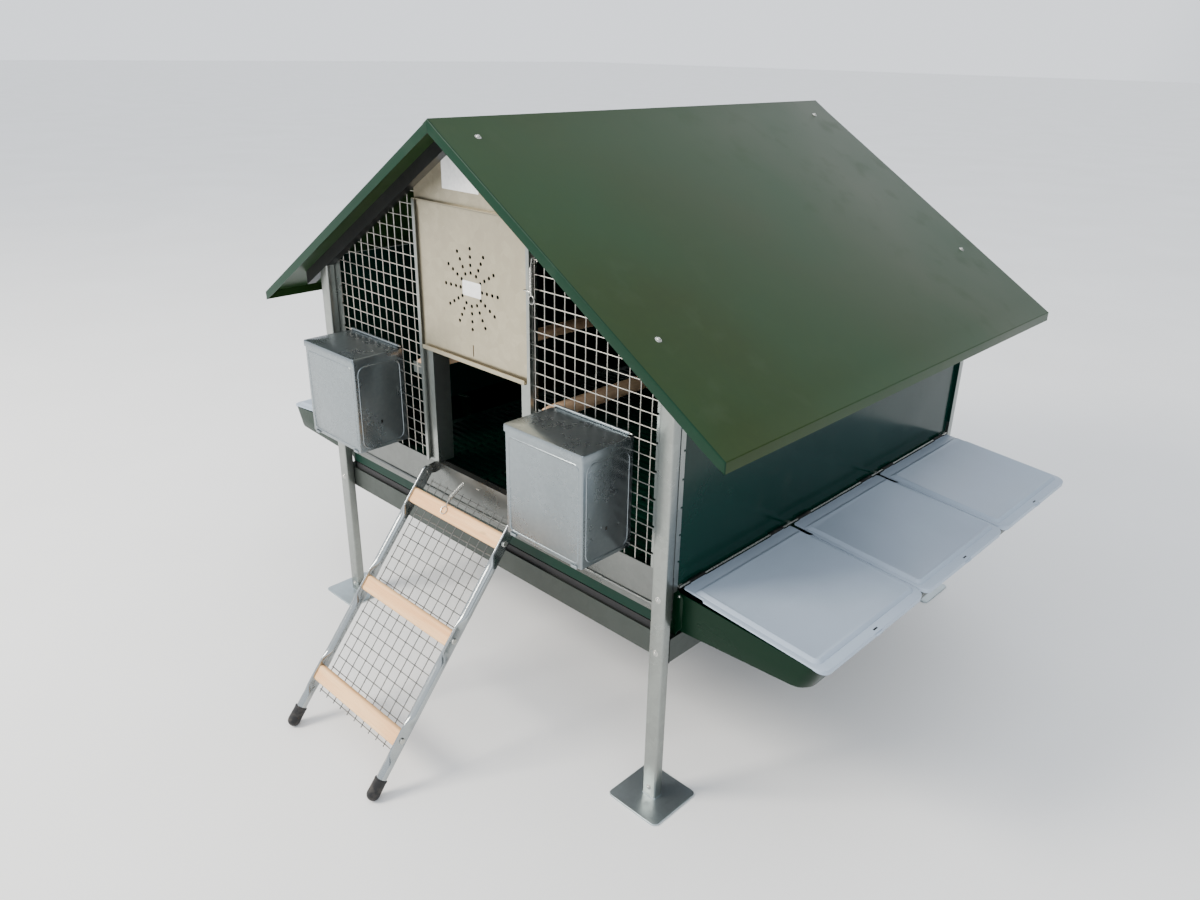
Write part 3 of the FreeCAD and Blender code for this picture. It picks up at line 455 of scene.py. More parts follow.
def moulded_plastic(name, tint, rough, specular):
    """Moulded plastic with a fine texture, scuffs and a little dust."""
    look = Look(name, Specular_IOR_Level=specular)
    cloud = look.noise(5, 4)
    speck = look.spread(look.noise(260, 2), 0.68, 0.74, 0, 0.35)
    colour = look.mix(look.spread(cloud, 0.3, 0.7, 0, 1), shade(tint, 0.93), shade(tint, 1.07))
    colour = look.mix(speck, colour, shade(tint, 0.72))
    scuff = look.spread(look.noise(40, 5, (1.0, 0.15, 1.0)), 0.6, 0.8, 0, 0.12)
    colour = look.mix(scuff, colour, shade(tint, 1.35))
    roughness = look.add(look.spread(cloud, 0.3, 0.7, rough - 0.05, rough + 0.06), scuff)
    soft = look.bump(look.noise(11, 3), 0.2, 1.2 * mm)
    pores = look.bump(look.noise(300, 1), 0.12, 0.1 * mm, soft)
    return look.done(colour, roughness, pores)


def planed_wood(name, light, dark, axis, ring, rough=0.58):
    """Wood whose grain runs along one axis, with growth rings, pores and a few darker flecks."""
    stretch = [1.0, 1.0, 1.0]
    stretch[axis] = 0.06
    look = Look(name, Specular_IOR_Level=0.35)
    grain = look.noise(ring, 5, tuple(stretch), 0.8)
    fibre = look.noise(ring * 7, 3, tuple(stretch))
    colour = look.mix(look.spread(grain, 0.35, 0.68, 0, 1), light, dark)
    colour = look.mix(look.spread(fibre, 0.45, 0.8, 0, 0.35), colour, shade(dark, 0.75))
    shorter = tuple(0.4 + 0.6 * part for part in stretch)
    fleck = look.spread(look.noise(38, 2, shorter), 0.70, 0.78, 0, 0.4)
    colour = look.mix(fleck, colour, shade(dark, 0.5))
    roughness = look.spread(fibre, 0.2, 0.8, rough - 0.08, rough + 0.1)
    return look.done(colour, roughness, look.bump(fibre, 0.35, 0.25 * mm))


def drawn_wire(name, tint, rough):
    """Galvanised wire with small zinc beads and duller patches."""
    look = Look(name, Metallic=0.85)
    bead = look.noise(320, 3)
    colour = look.mix(look.spread(look.noise(35, 3), 0.35, 0.7, 0, 1), tint, shade(tint, 0.7))
    roughness = look.spread(bead, 0.3, 0.7, rough - 0.06, rough + 0.1)
    return look.done(colour, roughness, look.bump(bead, 0.3, 0.25 * mm))


def soft_rubber(name, tint):
    """Dull rubber with fine grain and dust from the ground."""
    look = Look(name, Specular_IOR_Level=0.35)
    dust = look.spread(look.noise(70, 5), 0.5, 0.78, 0, 0.4)
    colour = look.mix(dust, tint, (0.16, 0.14, 0.12))
    return look.done(colour, look.spread(dust, 0, 0.4, 0.5, 0.85),
                     look.bump(look.noise(650, 3), 0.3, 0.15 * mm))


def blank_label(name):
    """Coated paper without any print."""
    look = Look(name, Specular_IOR_Level=0.4)
    fibres = look.spread(look.noise(120, 4), 0.35, 0.7, 0, 1)
    colour = look.mix(fibres, (0.86, 0.86, 0.84), (0.76, 0.76, 0.75))
    return look.done(colour, look.spread(look.noise(50, 2), 0.3, 0.7, 0.3, 0.42),
                     look.bump(look.noise(24, 3), 0.3, 0.5 * mm))


LOOKS = {
    # The roof's patch colour is a bluer green in random cloud patches: a painted reflection of the sky
    "green_roof": sheet_paint("roof_paint", (0.0145, 0.0320, 0.0022), 0.36, 0.10, 0.2,
                              (0.0125, 0.0400, 0.0105)),
    # A darker, bluer copy of the roof paint for the gable lips: painted shade, since the lips carry the same paint
    # as the slope
    "shaded_roof_lip": sheet_paint("shaded_roof_lip_paint", (0.0030, 0.0240, 0.0110), 0.34, 0.05, 0.14),
    "green_wall": sheet_paint("wall_paint", (0.0004, 0.0230, 0.0160), 0.18, 0.5, 0.18),
    "green_tub": moulded_plastic("tub_plastic", (0.0006, 0.0135, 0.0052), 0.28, 0.12),
    "grey_lid": moulded_plastic("lid_plastic", (0.36, 0.43, 0.52), 0.40, 0.45),
    "green_grid": moulded_plastic("grid_plastic", (0.0010, 0.0210, 0.0125), 0.4, 0.15),
    "tray_plastic": moulded_plastic("tray_black", (0.012, 0.012, 0.013), 0.5, 0.3),
    "rung_wood": planed_wood("rung_pine", (1.0, 0.64, 0.33), (0.86, 0.46, 0.20), 0, 45),
    "perch_wood": planed_wood("perch_beech", (0.90, 0.60, 0.38), (0.66, 0.40, 0.23), 1, 60, 0.62),
    "cap_rubber": soft_rubber("cap_rubber", (0.008, 0.008, 0.009)),
    "mesh_wire": drawn_wire("welded_wire", (0.56, 0.54, 0.49), 0.34),
    "ladder_wire": drawn_wire("ladder_wire", (0.20, 0.20, 0.185), 0.32),
    "zinc_fastener": drawn_wire("plated_steel", (0.55, 0.55, 0.51), 0.22),
    "feeder_sheet": zinc_sheet("feeder_zinc", (0.235, 0.268, 0.285), 0.26, 150, 0.04, 0.9, 1.0),
    "rail_steel": zinc_sheet("rail_zinc", (0.065, 0.075, 0.068), 0.42, 70),
    "rafter": zinc_sheet("rafter_zinc", (0.055, 0.057, 0.058), 0.40, 70),
    "galvanised": zinc_sheet("frame_zinc", (0.275, 0.292, 0.276), 0.28, 90, 0.15, 0.92, 1.0),
    "sill": zinc_sheet("sill_zinc", (0.16, 0.168, 0.160), 0.27, 90, 0.15, 0.92, 1.0),
    "foot": zinc_sheet("foot_zinc", (0.42, 0.48, 0.50), 0.36, 60),
    "door_zinc": zinc_sheet("door_zinc", (0.400, 0.356, 0.258), 0.32, 60, 0.3, 0.85, 1.2),
    "bright_tube": zinc_sheet("tube_zinc", (0.34, 0.365, 0.37), 0.16, 160, 0.05, 0.95, 0.5),
    "label": blank_label("label_paper"),
    # Near-black look: painted shadow for slots and openings; the lid knuckles take it as well
    "dark": soft_rubber("slot_shadow", (0.004, 0.004, 0.004)),
}
CAD_LOOKS = {"door_panel": "door_zinc", "gable_front": "door_zinc", "sill_front": "sill", "sill_rear": "sill"}
CAD_LOOKS.update({"rafter_%s_%s" % (end, side): "rafter" for end in ("front", "rear") for side in SIDES})


# ---------------- roof
def build_roof(side):
    """One folded sheet: flat slope, eave lip, a lip along each gable; the right one laps the left."""
    sign = SIDES[side]
    node = "roof_" + side
    y0, y1 = low(node).y, high(node).y
    eave = max(abs(low(node).x), abs(high(node).x))
    out = Vector((math.sin(slope), math.cos(slope)))
    lap = skin / math.cos(slope) if side == "right" else 0.0
    first = 3 * mm
    last = eave - fold
    lap_reach = 20 * mm
    spans = 18
    top = []
    for k in range(spans + 1):
        x = first + (last - first) * k / spans
        top.append((x, roof_z(x) + lap * max(0.0, 1 - x / lap_reach), out[0], out[1]))
    centre = (last, roof_z(last) - fold)
    for angle in arc(90 - math.degrees(slope), 0, 4)[1:]:
        top.append((centre[0] + fold * math.cos(angle), centre[1] + fold * math.sin(angle),
                    math.cos(angle), math.sin(angle)))
    bottom = roof_z(eave) - eave_lip
    top.append((eave, bottom, 1.0, 0.0))
    lip_end = eave - roof_lip * 0.75

    def lip_point(x, z):
        """Foot of the gable lip under a point of the sheet: cut upright at the ridge, mitred at the eave."""
        lean = out[0] * roof_lip
        foot = x - lean * min(1.0, x / (2.4 * lean))
        if x <= lip_end:
            return foot, roof_z(foot, roof_lip)
        start = (lip_end - lean, roof_z(lip_end - lean, roof_lip))
        share = (x - lip_end + (roof_z(x) - z)) / (eave - lip_end + eave_lip)
        return start[0] + (eave - start[0]) * share, start[1] + (bottom - start[1]) * share

    shape = Shape()
    rows = {0: [], y0: [], y1: []}
    apex = (0.3 * mm, roof_z(0.3 * mm) + lap, 0.0, 1.0)
    for x, z, nx, nz in [apex] + top:
        rows[0].append([(sign * x, y0 + fold, z), (sign * x, y1 - fold, z)])
        for end, inward in ((y0, 1), (y1, -1)):
            row = [(sign * (x - nx * fold * (1 - math.sin(a))), end + inward * fold * (1 - math.cos(a)),
                    z - nz * fold * (1 - math.sin(a))) for a in arc(90, 0, 4)]
            foot_x, foot_z = lip_point(x, z)
            row.append((sign * foot_x, end, foot_z))
            rows[end].append(row)
    if side == "right":                     # the flap over the left sheet
        flap = [(-x, roof_z(x) + lap) for x in (18 * mm * math.cos(slope), 9 * mm, 2.5 * mm)]
        rows[0] = [[(x, y0 + fold, z), (x, y1 - fold, z)] for x, z in flap] + rows[0]
    # The gable lips (finish 1) take the darker shaded lip paint: painted shade on the roof's own paint
    for end, rings in rows.items():
        shape.rings(rings, False, False, False, 1 if end else 0)
    return shape.make(node + "_sheet", "coop", "green_roof", [node],
                      [LOOKS["green_roof"], LOOKS["shaded_roof_lip"]], skin)


# ---------------- frame
def build_posts():
    """Box-section legs with rounded corners, cut to the roof's slope."""
    for end in ("front", "rear"):
        for side, sign in SIDES.items():
            node = "post_%s_%s" % (end, side)
            a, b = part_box(node)
            inner = min(abs(a.x), abs(b.x))
            outline = rounded(a.x, b.x, a.y, b.y, 3 * mm)
            foot = [(x, y, a.z) for x, y in outline]
            head = [(x, y, b.z - (abs(x) - inner) * math.tan(slope)) for x, y in outline]
            shape = Shape()
            shape.rings([foot, head])
            shape.make(node + "_tube", "coop", "galvanised", [node])


def build_feet():
    """Square foot plates with rounded corners and a weld round each leg."""
    shape = Shape()
    for a, b in islands("foot_plates"):
        x, y = (a.x + b.x) / 2, (a.y + b.y) / 2
        half = (b.x - a.x) / 2
        shape.slab((x, y, 2 * mm), (half, half, 2 * mm), 10 * mm, 1.2 * mm)
        reach = post_half + Vector((0.4, 0.4)) * mm
        outline = rounded(-reach.x, reach.x, -reach.y, reach.y, 3 * mm, 6)
        weld = [Vector((x + u, y + v, 4.4 * mm)) for u, v in outline]
        shape.tube(weld, 1.1 * mm, 6, closed=True)
    shape.make("foot_plate_set", "coop", "galvanised", ["foot_plates"], [LOOKS["foot"]])


def build_mesh_panel(side):
    """Welded wire: round uprights behind round cross wires, cut to the slope."""
    sign = SIDES[side]
    node = "mesh_" + side
    a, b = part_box(node)
    inner = min(abs(a.x), abs(b.x))
    outer = max(abs(a.x), abs(b.x))
    drop = skin + rafter_depth / 2
    shape = Shape()
    columns = [outer - wire_radius, inner + wire_radius]
    x = half_frame - mesh_post_gap
    while x > inner + 3 * mm:
        columns.append(x)
        x -= mesh_pitch
    for x in columns:
        top = roof_z(x, drop)
        shape.tube([(sign * x, front + 1.7 * mm, a.z), (sign * x, front + 1.7 * mm, top)], wire_radius)
    z = a.z + 0.5 * mm
    reach_limit = roof_z(0, drop)
    while z < roof_z(inner, drop) - wire_radius:
        reach = min(outer, (reach_limit - z) / math.tan(slope))
        shape.tube([(sign * inner, front, z), (sign * reach, front, z)], wire_radius)
        z += mesh_pitch
    shape.make(node + "_wires", "coop", "mesh_wire", [node])


def build_bolt_heads():
    """Domed heads on thin washers in place of the plain discs, on the roof and through the legs."""
    for node in ("roof_bolts", "frame_bolts"):
        shape = Shape()
        for a, b in islands(node):
            middle = (a + b) / 2
            if node == "roof_bolts":
                sign = math.copysign(1, middle.x)
                outward = Vector((sign * math.sin(slope), 0, math.cos(slope)))
                seat = Vector((middle.x, middle.y, roof_z(middle.x)))
                seat.x = middle.x + (b.z - roof_z(middle.x)) * 0.2 * sign
                seat.z = roof_z(seat.x)
            else:
                outward = Vector((0, math.copysign(1, middle.y), 0))
                seat = Vector((middle.x, a.y if middle.y < 0 else b.y, middle.z))
                seat -= outward * 3.5 * mm
            shape.dome(seat, outward, 6 * mm, 1.0 * mm, 20)
            shape.dome(seat + outward * 0.9 * mm, outward, 3.9 * mm, 2.6 * mm, 14)
        shape.make(node + "_heads", "coop", "zinc_fastener", [node])


# ---------------- feeders
class Feeder:
    """Where one hung box and its lid sit."""

    def __init__(self, side):
        self.lid_low, self.lid_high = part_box("feeder_lid_" + side)
        self.half_x, self.half_y = feeder_size.x / 2, feeder_size.y / 2
        self.x = (self.lid_low.x + self.lid_high.x) / 2
        self.y = front - self.half_y
        self.bottom = low("feeder_body_" + side).z + 2 * mm
        self.top = self.bottom + feeder_size.z


def add_feeder_walls(shape, feeder):
    """The open box, from the rim of its floor round its walls to the floor inside."""
    levels = [(4 * mm, 0.0), (1.2 * mm, 0.5 * mm), (0.0, 2.4 * mm), (0.0, feeder_size.z),
              (feeder_wall, feeder_size.z), (feeder_wall, 3.6 * mm), (4 * mm, feeder_wall)]
    rings = []
    for inset, z in levels:
        outline = rounded(feeder.x - feeder.half_x + inset, feeder.x + feeder.half_x - inset,
                          feeder.y - feeder.half_y + inset, feeder.y + feeder.half_y - inset,
                          3 * mm - inset * 0.4)
        rings.append([(x, y, feeder.bottom + z) for x, y in outline])
    shape.rings(rings)


def add_feeder_details(shape, feeder):
    """Pressed beads, corner tabs, side slots and small rivets."""
    cx, cy, bottom = feeder.x, feeder.y, feeder.bottom
    half_x, half_y = feeder.half_x, feeder.half_y
    bead_width, bead_height, bead_half_z = 3.4 * mm, 0.9 * mm, feeder_size.z * 0.43
    middle = Vector((cx, cy - half_y, bottom + feeder_size.z * 0.47))
    shape.bead(middle, (half_x - 9 * mm, bead_half_z), 9 * mm, bead_width, bead_height, (X, Z, -Y))
    for sign in (-1, 1):
        face = Vector((cx + sign * half_x, cy, middle.z))
        shape.bead(face, (half_y - 10 * mm, bead_half_z), 16 * mm, bead_width, bead_height, (Y, Z, sign * X))
        shape.slab((cx + sign * (half_x - 17 * mm), cy - half_y - 0.7 * mm, bottom + 1.5 * mm),
                   (7 * mm, 0.7 * mm, 2.8 * mm), 0.4 * mm, 0.3 * mm)
        # The side slots are thin near-black slabs on the face: painted shadow in place of the openings
        shape.slab((cx + sign * (half_x + 0.15 * mm), cy - 3 * mm, bottom + 58 * mm),
                   (0.2 * mm, 2.2 * mm, 3.2 * mm), 0.1 * mm, 0.1 * mm, finish=1)
        rivet = Vector((cx + sign * half_x, cy - 14 * mm, bottom + 63 * mm))
        shape.dome(rivet, X * sign, 1.8 * mm, 0.7 * mm, 10)
    dimple = Vector((cx - half_x * 0.28, cy - half_y, bottom + feeder_size.z * 0.58))
    shape.dome(dimple, -Y, 3.2 * mm, 0.5 * mm)


def add_feeder_hooks(shape, feeder):
    """Two flat hooks over the highest cross wire below the box's top, each between two uprights."""
    first = half_frame - mesh_post_gap
    wire_z = low("mesh_right").z
    wire_z += mesh_pitch * int((feeder.top - wire_z) / mesh_pitch) + wire_radius
    half_width, thickness = 4 * mm, 0.8 * mm
    for step in (-2, 2):
        cell = round((first - abs(feeder.x)) / mesh_pitch) + step
        x = math.copysign(first - (cell + 0.5) * mesh_pitch, feeder.x)
        bend = [(front - 1 * mm, wire_z + 1.5 * mm), (front + 2.6 * mm, wire_z + 1.7 * mm),
                (front + 3.9 * mm, wire_z + 0.6 * mm), (front + 4.0 * mm, wire_z - 9 * mm)]
        shape.rings([[(x - half_width, y, z), (x + half_width, y, z),
                      (x + half_width, y - thickness, z - thickness),
                      (x - half_width, y - thickness, z - thickness)] for y, z in bend])


def build_feeder_box(side):
    """A hung sheet box with pressed beads, corner tabs and hooks."""
    feeder = Feeder(side)
    shape = Shape()
    add_feeder_walls(shape, feeder)
    add_feeder_details(shape, feeder)
    add_feeder_hooks(shape, feeder)
    shape.make("feeder_box_" + side, "coop", "feeder_sheet", ["feeder_body_" + side],
               [LOOKS["feeder_sheet"], LOOKS["dark"]])


def build_feeder_lid(side):
    """The box's lid, turned down on three sides, and its hinge."""
    feeder = Feeder(side)
    node = "feeder_lid_" + side
    near, far = feeder.lid_low, feeder.lid_high
    axis = Vector((feeder.x, far.y - 3.2 * mm, far.z - 3.2 * mm))
    plate_top = feeder.top + feeder_wall
    rear = axis.y - 4 * mm
    skirt = plate_top - near.z
    rear_band = 3.2 * mm

    def level(inset, drop):
        """One outline of the lid; along the rear edge it drops no more than the sheet."""
        outline = rounded(near.x + inset, far.x - inset, near.y + inset, rear - inset * 0.2, 3.5 * mm)
        return [(x, y, plate_top - (drop if y < rear - rear_band else min(drop, feeder_wall)))
                for x, y in outline]

    lid = Shape()
    lid.rings([level(0, skirt), level(0, 2.2 * mm), level(0.7 * mm, 0.6 * mm), level(2.4 * mm, 0.0),
               level(30 * mm, -0.25 * mm)], first=False)
    lid.make("feeder_cover_" + side, node, "feeder_sheet", [node], thick=0.9 * mm)

    hinge = Shape()
    half = feeder.half_x - 8 * mm
    hinge.tube([(near.x + 8.5 * mm, axis.y, axis.z), (far.x - 8.5 * mm, axis.y, axis.z)], 3.0 * mm, 14)
    hinge.slab((feeder.x, axis.y - 3.4 * mm, feeder.top + 0.9 * mm), (half, 4 * mm, 0.5 * mm),
               0.4 * mm, 0.3 * mm)
    hinge.slab((feeder.x, axis.y, feeder.top + 2.2 * mm), (half, 0.7 * mm, 1.8 * mm), 0.3 * mm, 0.3 * mm)
    hinge.make("feeder_cover_hinge_" + side, node, "feeder_sheet")


# ---------------- nests
class NestRow:
    """Sizes of one side's row of trays; x counts outwards from the middle of the coop."""

    def __init__(self, side):
        plate_sheet = 1.3 * mm
        self.boxes = sorted(islands("nest_tray_" + side), key=lambda box: box[0].y)
        self.plates = [box for box in islands("nest_end_plates") if box[0].x * SIDES[side] > 0]
        self.low_y = min(box[0].y for box in self.plates) + plate_sheet
        self.high_y = max(box[1].y for box in self.plates) - plate_sheet
        self.start, self.outer = sorted(abs(corner.x) for corner in self.boxes[0])
        self.top = max(box[1].z for box in self.boxes)
        self.bottom = min(box[0].z for box in self.boxes) + 7 * mm

    def rim_z(self, x):
        """Height of the trays' rim."""
        return self.top - nest_rim_fall * (x - self.start) / (self.outer - self.start)

    def floor_z(self, x):
        """Height of the trays' floor."""
        return self.bottom + nest_floor_rise * (x - self.start) / (self.outer - self.start - nest_undercut)


def build_tubs(side):
    """Three moulded trays in a row, open at the top and towards the floor."""
    row = NestRow(side)
    for index, (a, b) in enumerate(row.boxes):
        y0 = row.low_y if index == 0 else a.y
        y1 = row.high_y if index == len(row.boxes) - 1 else b.y
        rings = []
        for rise, inset, draft in ((1.0, 0.0, 0.0), (0.5, 9.0, 0.5), (0.10, 16.4, 0.9), (0.035, 18.2, 1.8),
                                   (0.0, 22.0, 6.0)):
            inset, draft = inset * mm, draft * mm
            corner = nest_corner + inset * 0.3
            middle = row.outer - inset - corner
            points = [(row.start, y0 + draft)]
            for turn, y in ((-90, y0 + draft + corner), (0, y1 - draft - corner)):
                points += [(middle + corner * math.cos(a), y + corner * math.sin(a))
                           for a in arc(turn, turn + 90, 7)]
            points.append((row.start, y1 - draft))
            rings.append([(SIDES[side] * x, y, row.floor_z(x) + rise * (row.rim_z(x) - row.floor_z(x)))
                          for x, y in points])
        shape = Shape()
        shape.rings(rings, closed=False, first=False)
        shape.make("nest_tub_%s_%d" % (side, index + 1), "coop", "green_tub", ["nest_tray_" + side],
                   thick=2 * mm)


def build_end_brackets(side):
    """The green plates at the row's two ends, each with a bolt head."""
    sign = SIDES[side]
    row = NestRow(side)
    wall_x = abs(high("wall_right").x)
    far = wall_x + 6 * mm
    tip = far + 9 * mm
    bevel = 0.4
    shape = Shape()
    for a, b in row.plates:
        near = min(abs(a.x), abs(b.x))
        outline = [(near, a.z), (half_frame - 4 * mm, a.z), (half_frame - 2 * mm, row.bottom),
                   (far, row.floor_z(far)), (tip, row.floor_z(far) + 12 * mm),
                   (tip, row.rim_z(far) - 8 * mm), (far, row.rim_z(far) + 1 * mm), (wall_x, b.z), (near, b.z)]
        middle_x = sum(x for x, z in outline) / len(outline)
        middle_z = sum(z for x, z in outline) / len(outline)
        rings = []
        for inset, y in ((bevel, a.y), (0.0, a.y + bevel * mm), (0.0, b.y - bevel * mm), (bevel, b.y)):
            shrink = 1 - inset * mm / (20 * mm)
            rings.append([(sign * (middle_x + (x - middle_x) * shrink), y, middle_z + (z - middle_z) * shrink)
                          for x, z in outline])
        shape.rings(rings)
        outward = math.copysign(1, a.y)
        bolt = Vector((sign * far, a.y if outward < 0 else b.y, b.z - 14 * mm))
        shape.dome(bolt, Y * outward, 2.6 * mm, 1.3 * mm, 12, finish=1)
    shape.make("nest_end_brackets_" + side, "coop", "green_tub", ["nest_end_plates"],
               [LOOKS["green_tub"], LOOKS["zinc_fastener"]])


def build_lid(side, number):
    """A moulded lid: flat border with a turned-down rim, raised middle, latch tab and knuckles."""
    sign = SIDES[side]
    body = "nest_lid_%s_%d" % (side, number)
    a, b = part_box(body)
    axis_x = min(abs(a.x), abs(b.x)) + 4 * mm
    axis_z = b.z - 4 * mm
    cos_s, sin_s = math.cos(lid_slope), math.sin(lid_slope)

    def place(along, y, height):
        """A point of the lid, from its hinge line outwards."""
        return Vector((sign * (axis_x + along * cos_s + height * sin_s), y,
                       axis_z - along * sin_s + height * cos_s))

    def ring(inset, height, hinge_side=0.0, outer_side=0.0, ends=0.0, skirt=0.0):
        """One level of the lid, in millimetres: its ends step in near the hinge, its skirt hangs outside."""
        near, far = 4 * mm + (inset + hinge_side) * mm, lid_reach - (inset + outer_side) * mm
        y0, y1 = a.y + (inset + ends) * mm, b.y - (inset + ends) * mm
        corner = max(nest_corner - (inset + ends * 0.9) * mm, 3 * mm)
        back = 0.0 if ends else 5 * mm
        shoulder = 49 * mm
        edge = [(far - corner + corner * math.cos(t), corner * math.sin(t) - corner, math.cos(t))
                for t in arc(0, 90, 8)]
        edge += [(shoulder + 2.5 * mm, 0, 0), (shoulder, -back * 0.5, 0), (shoulder - 2.5 * mm, -back, 0),
                 (near + 3 * mm, -back, 0), (near, -back - 3 * mm, 0)]
        outline = [(u, y1 + v, w) for u, v, w in edge] + [(u, y0 - v, w) for u, v, w in reversed(edge)]
        return [place(u, v, (height - skirt * w) * mm) for u, v, w in outline]

    border = [ring(0, -3, skirt=7), ring(0, -1.9), ring(0.5, -0.5), ring(1.8, 0.0)]
    plateau = [ring(inset, height, hinge_side=22, outer_side=17, ends=9)
               for inset, height in ((0, 0.0), (0.3, 0.6), (5.2, 4.2), (6.4, 4.8), (8.5, 4.8), (9.5, 4.4))]
    shape = Shape()
    shape.rings(border + plateau, first=False)
    shape.make(body + "_shell", body, "grey_lid", [body], thick=2.0 * mm, sharp=24)

    middle = (a.y + b.y) / 2
    axes = (place(1, 0, 0) - place(0, 0, 0), Y, place(0, 0, 1) - place(0, 0, 0))
    detail = Shape()
    detail.slab(place(lid_reach - 0.5 * mm, middle, -3.2 * mm), (4.4 * mm, 11 * mm, 1.0 * mm),
                4 * mm, 0.5 * mm, axes)
    # A near-black patch on the lid's border by the tab: painted shadow in place of an opening
    detail.slab(place(lid_reach - 7 * mm, middle, 0.1 * mm), (1.5 * mm, 6 * mm, 0.15 * mm),
                0.5 * mm, 0.1 * mm, axes, finish=1)
    clip_place, clip_half = 46 * mm, 20 * mm
    for centre in (a.y + clip_place, b.y - clip_place):
        detail.tube([place(0, centre + end, 0) for end in (-clip_half, clip_half)], 3.9 * mm, 16, finish=1)
        detail.slab(place(3.5 * mm, centre, -1.3 * mm), (3.5 * mm, clip_half, 1.2 * mm),
                    0.5 * mm, 0.4 * mm, axes)
    detail.make(body + "_tab", body, "grey_lid", [], [LOOKS["grey_lid"], LOOKS["dark"]])


# ---------------- ladder
class LadderFrame:
    """Ladder coordinates: x across, t down the slope from the hinge, h square to it."""

    def __init__(self):
        hinge = Vector(HINGES["ladder_fold"]["pos_m"])
        self.origin = Vector((0, hinge.y, hinge.z))
        foot = Vector((0, low("ladder_caps").y + cap_radius, low("ladder_caps").z + cap_radius))
        run = foot - self.origin
        self.length = run.length
        self.down = run.normalized()
        self.up = X.cross(self.down)
        if self.up.z < 0:
            self.up = -self.up

    def at(self, x, t, h=0.0):
        return self.origin + X * x + self.down * t + self.up * h


ladder = LadderFrame()


def build_rail(side):
    """A tube pressed flat at the ear and at each rung, with smooth shoulders."""
    sign = SIDES[side]
    shoulder = 26 * mm
    flats = [(-flat_width / 2, rung_places[0] + flat_length / 2)]
    flats += [(place - flat_length / 2, place + flat_length / 2) for place in rung_places[1:]]

    def flatness(t):
        best = 0.0
        for start, stop in flats:
            away = max(start - t, t - stop, 0.0)
            best = max(best, smooth_step(1 - away / shoulder))
        return best

    count = 120
    first = -flat_width / 2 + 0.2 * mm
    run = ladder.length + flat_width / 2
    rings = []
    for k in range(count + 1):
        t = first + run * k / count
        flat = flatness(t)
        half_x = tube_radius + (flat_half - tube_radius) * flat
        half_h = tube_radius + (flat_width / 2 - tube_radius) * flat
        power = 1.0 - 0.45 * flat
        if t < 0:
            half_h = max(math.sqrt(max((flat_width / 2) ** 2 - t * t, 0.0)), 1.5 * mm)
        ring = []
        for angle in full_turn(24):
            c, s = math.cos(angle), math.sin(angle)
            ring.append(ladder.at(sign * rail_x + half_x * math.copysign(abs(c) ** power, c), t,
                                  half_h * math.copysign(abs(s) ** power, s)))
        rings.append(ring)
    shape = Shape()
    shape.rings(rings)
    shape.make("ladder_tube_" + side, "ladder", "galvanised", ["ladder_rail_" + side],
               [LOOKS["bright_tube"]], sharp=50)


def build_rung(number):
    """A grooved wooden rung with rounded edges."""
    node = "ladder_rung_%d" % number
    t0 = rung_places[number - 1]
    half_w, half_h = rung_width / 2, rung_thickness / 2
    radius = 6 * mm
    groove, depth = 0.9 * mm, 0.55 * mm
    grooves = 8
    section = []
    span = 2 * (half_w - radius)
    for k in range(grooves):
        middle = -half_w + radius + span * (k + 0.5) / grooves
        section += [(middle - groove, half_h), (middle, half_h - depth), (middle + groove, half_h)]
    for su, sv, turn in ((1, 1, 90), (1, -1, 0), (-1, -1, -90), (-1, 1, -180)):
        cu, cv = su * (half_w - radius), sv * (half_h - radius)
        section += [(cu + radius * math.cos(a), cv + radius * math.sin(a)) for a in arc(turn, turn - 90, 5)]
    half = abs(high(node).x)
    rings = []
    for x, scale in ((-half, 0.93), (-half + 0.7 * mm, 0.98), (-half + 2 * mm, 1.0), (0, 1.0),
                     (half - 2 * mm, 1.0), (half - 0.7 * mm, 0.98), (half, 0.93)):
        rings.append([ladder.at(x, t0 + w * scale, h * scale) for w, h in section])
    shape = Shape()
    shape.rings(rings)
    shape.make(node + "_wood", "ladder", "rung_wood", [node], sharp=30)


def build_ladder_mesh():
    """Welded wire under the rungs, its ends cut a little past the outer wires."""
    half = 125 * mm
    first, count = 14 * mm, 20
    stub = 5 * mm
    last = first + (count - 1) * mesh_pitch
    height = -rung_thickness / 2 - wire_radius
    shape = Shape()
    for k in range(11):
        x = -half + k * mesh_pitch
        shape.tube([ladder.at(x, first - stub, height), ladder.at(x, last + stub, height)], wire_radius)
    for k in range(count):
        t = first + k * mesh_pitch
        ends = [ladder.at(x, t, height - 1.6 * mm) for x in (-half - stub, half + stub)]
        shape.tube(ends, wire_radius)
    shape.make("ladder_wires", "ladder", "mesh_wire", ["ladder_mesh"], [LOOKS["ladder_wire"]])


def build_caps():
    """Rubber caps with a lip, on the ladder's feet."""
    shape = Shape()
    for sign in (-1, 1):
        profile = [(-cap_length, 10.2 * mm), (-cap_length, 12 * mm), (-cap_length + 0.6 * mm, cap_radius),
                   (-cap_length + 3 * mm, cap_radius), (-cap_length + 3.8 * mm, 11.9 * mm),
                   (-9 * mm, 12.2 * mm), (0.0, cap_radius)]
        profile += [(cap_radius * math.sin(a), cap_radius * math.cos(a)) for a in arc(12, 84, 6)]
        rings = []
        for t, radius in profile:
            rings.append([ladder.at(sign * rail_x + radius * math.cos(a), ladder.length + t,
                                    radius * math.sin(a)) for a in full_turn(24)])
        shape.rings(rings)
    shape.make("ladder_feet", "ladder", "cap_rubber", ["ladder_caps"])


